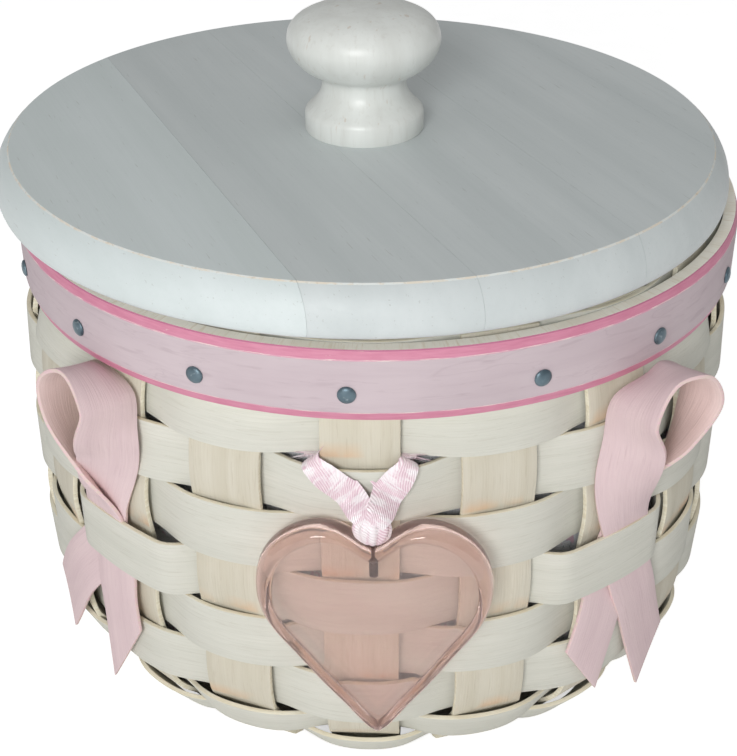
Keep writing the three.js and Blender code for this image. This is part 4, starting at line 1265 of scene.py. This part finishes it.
def glass_heart():
    """A thick rounded rim round a sunk flat face, poured in one piece."""
    side = eased_route([(x * HEART_WIDTH / 2, 0, z * HEART_HEIGHT) for x, z in HALF_HEART])
    middle_height = HEART_HEIGHT / 2
    section = eased_route([
        (0.8, 0.04), (0.9, 0.02), (0.955, 0.05), (0.985, 0.17), (1, 0.42), (0.992, 0.7), (0.968, 0.89),
        (0.937, 0.985), (0.908, 0.985), (0.885, 0.9), (0.873, 0.79), (0.855, 0.76), (0.83, 0.757),
    ])

    def place(share, across):
        here = side(2 * share) if share <= 0.5 else side(2 - 2 * share)
        x = here.x if share <= 0.5 else -here.x
        scale, depth = section(across)
        return Vector((
            HEART_X + x * scale,
            -HEART_BACK - depth * HEART_THICKNESS,
            HEART_TIP_HEIGHT + middle_height + (here.z - middle_height) * scale,
        ))

    section_girth = 12
    heart = lay_strip("glass_heart_pour", 200, 40, place, u_length=180, v_width=section_girth)
    recalculate(heart, 1e-5)
    edit(heart)
    bpy.ops.mesh.fill_holes(sides=0)
    stop_editing()
    # The rim takes a deeper tinted copy of the same glass, painted shade for the dark edge that refraction
    # gives it.
    face_glass = rose_glass("rose_glass", tone(243, 228, 224), tone(236, 216, 212), 1.36, 0.92)
    rim_glass_painted_shade = rose_glass("rose_glass_rim_painted_shade", tone(236, 206, 196), tone(226, 192, 182), 1.5, 0.9)
    finish_with(heart, face_glass, rim_glass_painted_shade)
    for face in heart.data.polygons:
        on_rim = len(face.vertices) == 4 and 0.12 < share_across(heart, face, section_girth) < 0.86
        face.material_index = 1 if on_rim else 0
    recalculate(heart)
    drill(heart, HEART_X, -HEART_DEPTH, PIN_HOLE, CLEFT_HEIGHT - PIN_DEPTH + 0.1, RING_HEIGHT)
    tilt(heart)
    smooth(heart, 40)
    dress(heart, HEART, "rose_glass", "glass_heart")


def heart_eyelet():
    """A pin glued into the cleft, joined to the ring that the ribbon is gathered round."""
    finish = Finish("eyelet_wire")
    drawn = finish.noise("Object", (700, 700, 300), detail=3)
    colour = finish.tinted(tone(92, 76, 72), tone(62, 50, 48), drawn, 0.35, 0.7, 1)
    finish.bump(drawn, strength=0.2, distance=0.0001)
    wire = finish.done(colour, 0.32, Metallic=0.85)
    foot = CLEFT_HEIGHT - PIN_DEPTH
    eyelet = spun("heart_eyelet_wire", [
        (0, foot), (0.8, foot), (1, foot + 0.2), (1, foot + 1.4), (0.98, RING_HEIGHT - 2.6),
        (0.6, RING_HEIGHT - 2.3), (0, RING_HEIGHT - 2.2),
    ], 20)
    deselect_all()
    bpy.ops.mesh.primitive_torus_add(
        major_radius=2.2 * MM, minor_radius=0.6 * MM, major_segments=40, minor_segments=14,
        rotation=(math.pi / 2, 0, 0), location=(0, 0, RING_HEIGHT * MM),
    )
    bpy.ops.object.transform_apply(location=True, rotation=True, scale=True)
    eyelet.select_set(True)
    bpy.context.view_layer.objects.active = eyelet
    bpy.ops.object.join()
    move_mesh(eyelet, shifted((HEART_X, -HEART_DEPTH, 0)))
    tilt(eyelet)
    finish_with(eyelet, wire)
    smooth(eyelet, 40)
    dress(eyelet, HEART, "tack_steel", "heart_eyelet")


heart_eyelet()
glass_heart()


# Cloth lining

def lining_finish():
    finish = Finish("lining_cloth")
    warp, weft = (finish.waves(finish.where("UV"), 900, 0.4, 1, direction) for direction in "XY")
    weave = finish.mix(0.5, warp, weft)
    pink_specks = finish.noise("UV", (420, 420, 1), detail=3)
    grey_specks = finish.noise("UV", (520, 520, 1), offset=(9, 4, 0), detail=3)
    colour = finish.tinted(tone(222, 224, 226), tone(202, 204, 208), weave, 0.2, 0.8, 0.7)
    colour = finish.tinted(colour, tone(214, 160, 182), pink_specks, 0.58, 0.64, 0.7)
    colour = finish.tinted(colour, tone(150, 154, 162), grey_specks, 0.6, 0.66, 0.7)
    finish.bump(weave, strength=0.4, distance=0.0003)
    return finish.done(colour, 0.9, Sheen_Weight=0.15)


LINING = lining_finish()


def lining_wall():
    """A band of cloth that hangs inside the wall in shallow folds, down to the floor piece."""
    outside = eased_route([
        (82.4, 107.6), (83.0, 100), (83.6, 80), (83.8, 58), (83.6, 40), (82.9, 28), (80.4, 20), (76.6, 14),
        (73.3, 10.2),
    ])

    def place(share, across):
        angle = -180 + 360 * share
        radius, height = outside(1 - across)
        full = smoothstep(height, 12, 60)
        folds = 0.55 * math.sin(math.radians(23 * angle)) + 0.5 * ripple(angle, height / 60, 9)
        return around(angle, radius - 0.6 + 0.6 * full * folds, height)

    cloth = lay_strip("lining_wall_cloth", 300, 36, place, LINING_GIRTH, LINING_HEIGHT)
    finish_with(cloth, LINING)
    recalculate(cloth, 2e-5)
    thicken(cloth, 0.45, bevel=0)
    smooth(cloth, 60)
    dress(cloth, BASKET, "lining_cloth", "lining_wall")


def lining_floor():
    """A disc of cloth that lies on the crossing of the long splints, not quite flat."""
    middle = FLOOR_TOP + 0.4
    cloth = spun("lining_floor_cloth", [(i * LINING_FLOOR_RADIUS / 14, middle) for i in range(15)], 96)
    for vertex in cloth.data.vertices:
        spot = vertex.co / MM
        vertex.co.z += (0.12 * noise.noise(spot / 14) + 0.05) * MM
    edit(cloth)
    bpy.ops.uv.cube_project(cube_size=0.15)
    stop_editing()
    finish_with(cloth, LINING)
    thicken(cloth, 0.4, bevel=0)
    smooth(cloth, 60)
    dress(cloth, BASKET, "lining_cloth", "lining_floor")


lining_wall()
lining_floor()


# Camera, light and floor

CAMERA_PLACE = Vector((15.3, -337.7, 269.4)) * MM
CAMERA_HEADING = math.radians(3.05)
CAMERA_PITCH = math.radians(90 - 31.07)
CAMERA_ROLL = math.radians(-0.47)
SENSOR_WIDTH = 36
FOCAL_LENGTH_PIXELS = 1400
PHOTO_WIDTH_PIXELS = 737
LAMP_TARGET = Vector((0, 0, 0.07))
SKY_LIGHT = 0.36
FLOOR_GLOW = 0.62


def set_camera():
    deselect_all()
    bpy.ops.object.camera_add()
    camera = bpy.context.object
    camera.data.sensor_fit = "HORIZONTAL"
    camera.data.sensor_width = SENSOR_WIDTH
    camera.data.lens = SENSOR_WIDTH * FOCAL_LENGTH_PIXELS / PHOTO_WIDTH_PIXELS
    camera.data.clip_start = 0.01
    camera.matrix_world = Matrix.Translation(CAMERA_PLACE) @ (
        Matrix.Rotation(CAMERA_HEADING, 4, "Z")
        @ Matrix.Rotation(CAMERA_PITCH, 4, "X")
        @ Matrix.Rotation(CAMERA_ROLL, 4, "Z")
    )
    bpy.context.scene.camera = camera


def soft_lamp(name, place, size, power):
    deselect_all()
    bpy.ops.object.light_add(type="AREA", location=place)
    lamp = bpy.context.object
    lamp.name = name
    lamp.data.size = size
    lamp.data.energy = power
    lamp.rotation_euler = (LAMP_TARGET - Vector(place)).to_track_quat("-Z", "Y").to_euler()


def pale_floor():
    """It glows a little to the camera, in gloss and through glass, and keeps the object's shadow."""
    deselect_all()
    bpy.ops.mesh.primitive_plane_add(size=6, location=(0, 0, 0))
    floor = newest("floor")
    finish = Finish("pale_floor")
    paper = finish.noise("Object", (60, 60, 60), detail=3)
    colour = finish.ramp(paper, (0.3, tone(236, 236, 236)), (0.7, tone(240, 240, 240)))
    finish.put(finish.surface.inputs["Emission Color"], (1, 1, 1, 1))
    glow = finish.math("MULTIPLY", finish.seen_by("Glossy", "Transmission", "Camera"), FLOOR_GLOW)
    finish_with(floor, finish.done(colour, 0.9, Emission_Strength=glow))


def white_sky():
    """White to the camera and through glass, and dimmer where it lights the object or shows in gloss."""
    world = bpy.context.scene.world or bpy.data.worlds.new("studio")
    bpy.context.scene.world = world
    sky = Nodes(world)
    strength = sky.node("ShaderNodeMapRange")
    sky.put(strength.inputs["Value"], sky.seen_by("Camera", "Transmission"))
    sky.put(strength.inputs["To Min"], SKY_LIGHT)
    sky.put(strength.inputs["To Max"], 1)
    background = sky.nodes["Background"]
    sky.put(background.inputs["Color"], (1, 1, 1, 1))
    sky.put(background.inputs["Strength"], strength.outputs["Result"])


set_camera()
soft_lamp("front_light", (-0.16, -1, 0.52), 0.35, 6.8)
soft_lamp("top_light", (0.1, -0.2, 1.3), 0.9, 0.8)
pale_floor()
white_sky()
bpy.context.scene.view_settings.view_transform = "Standard"
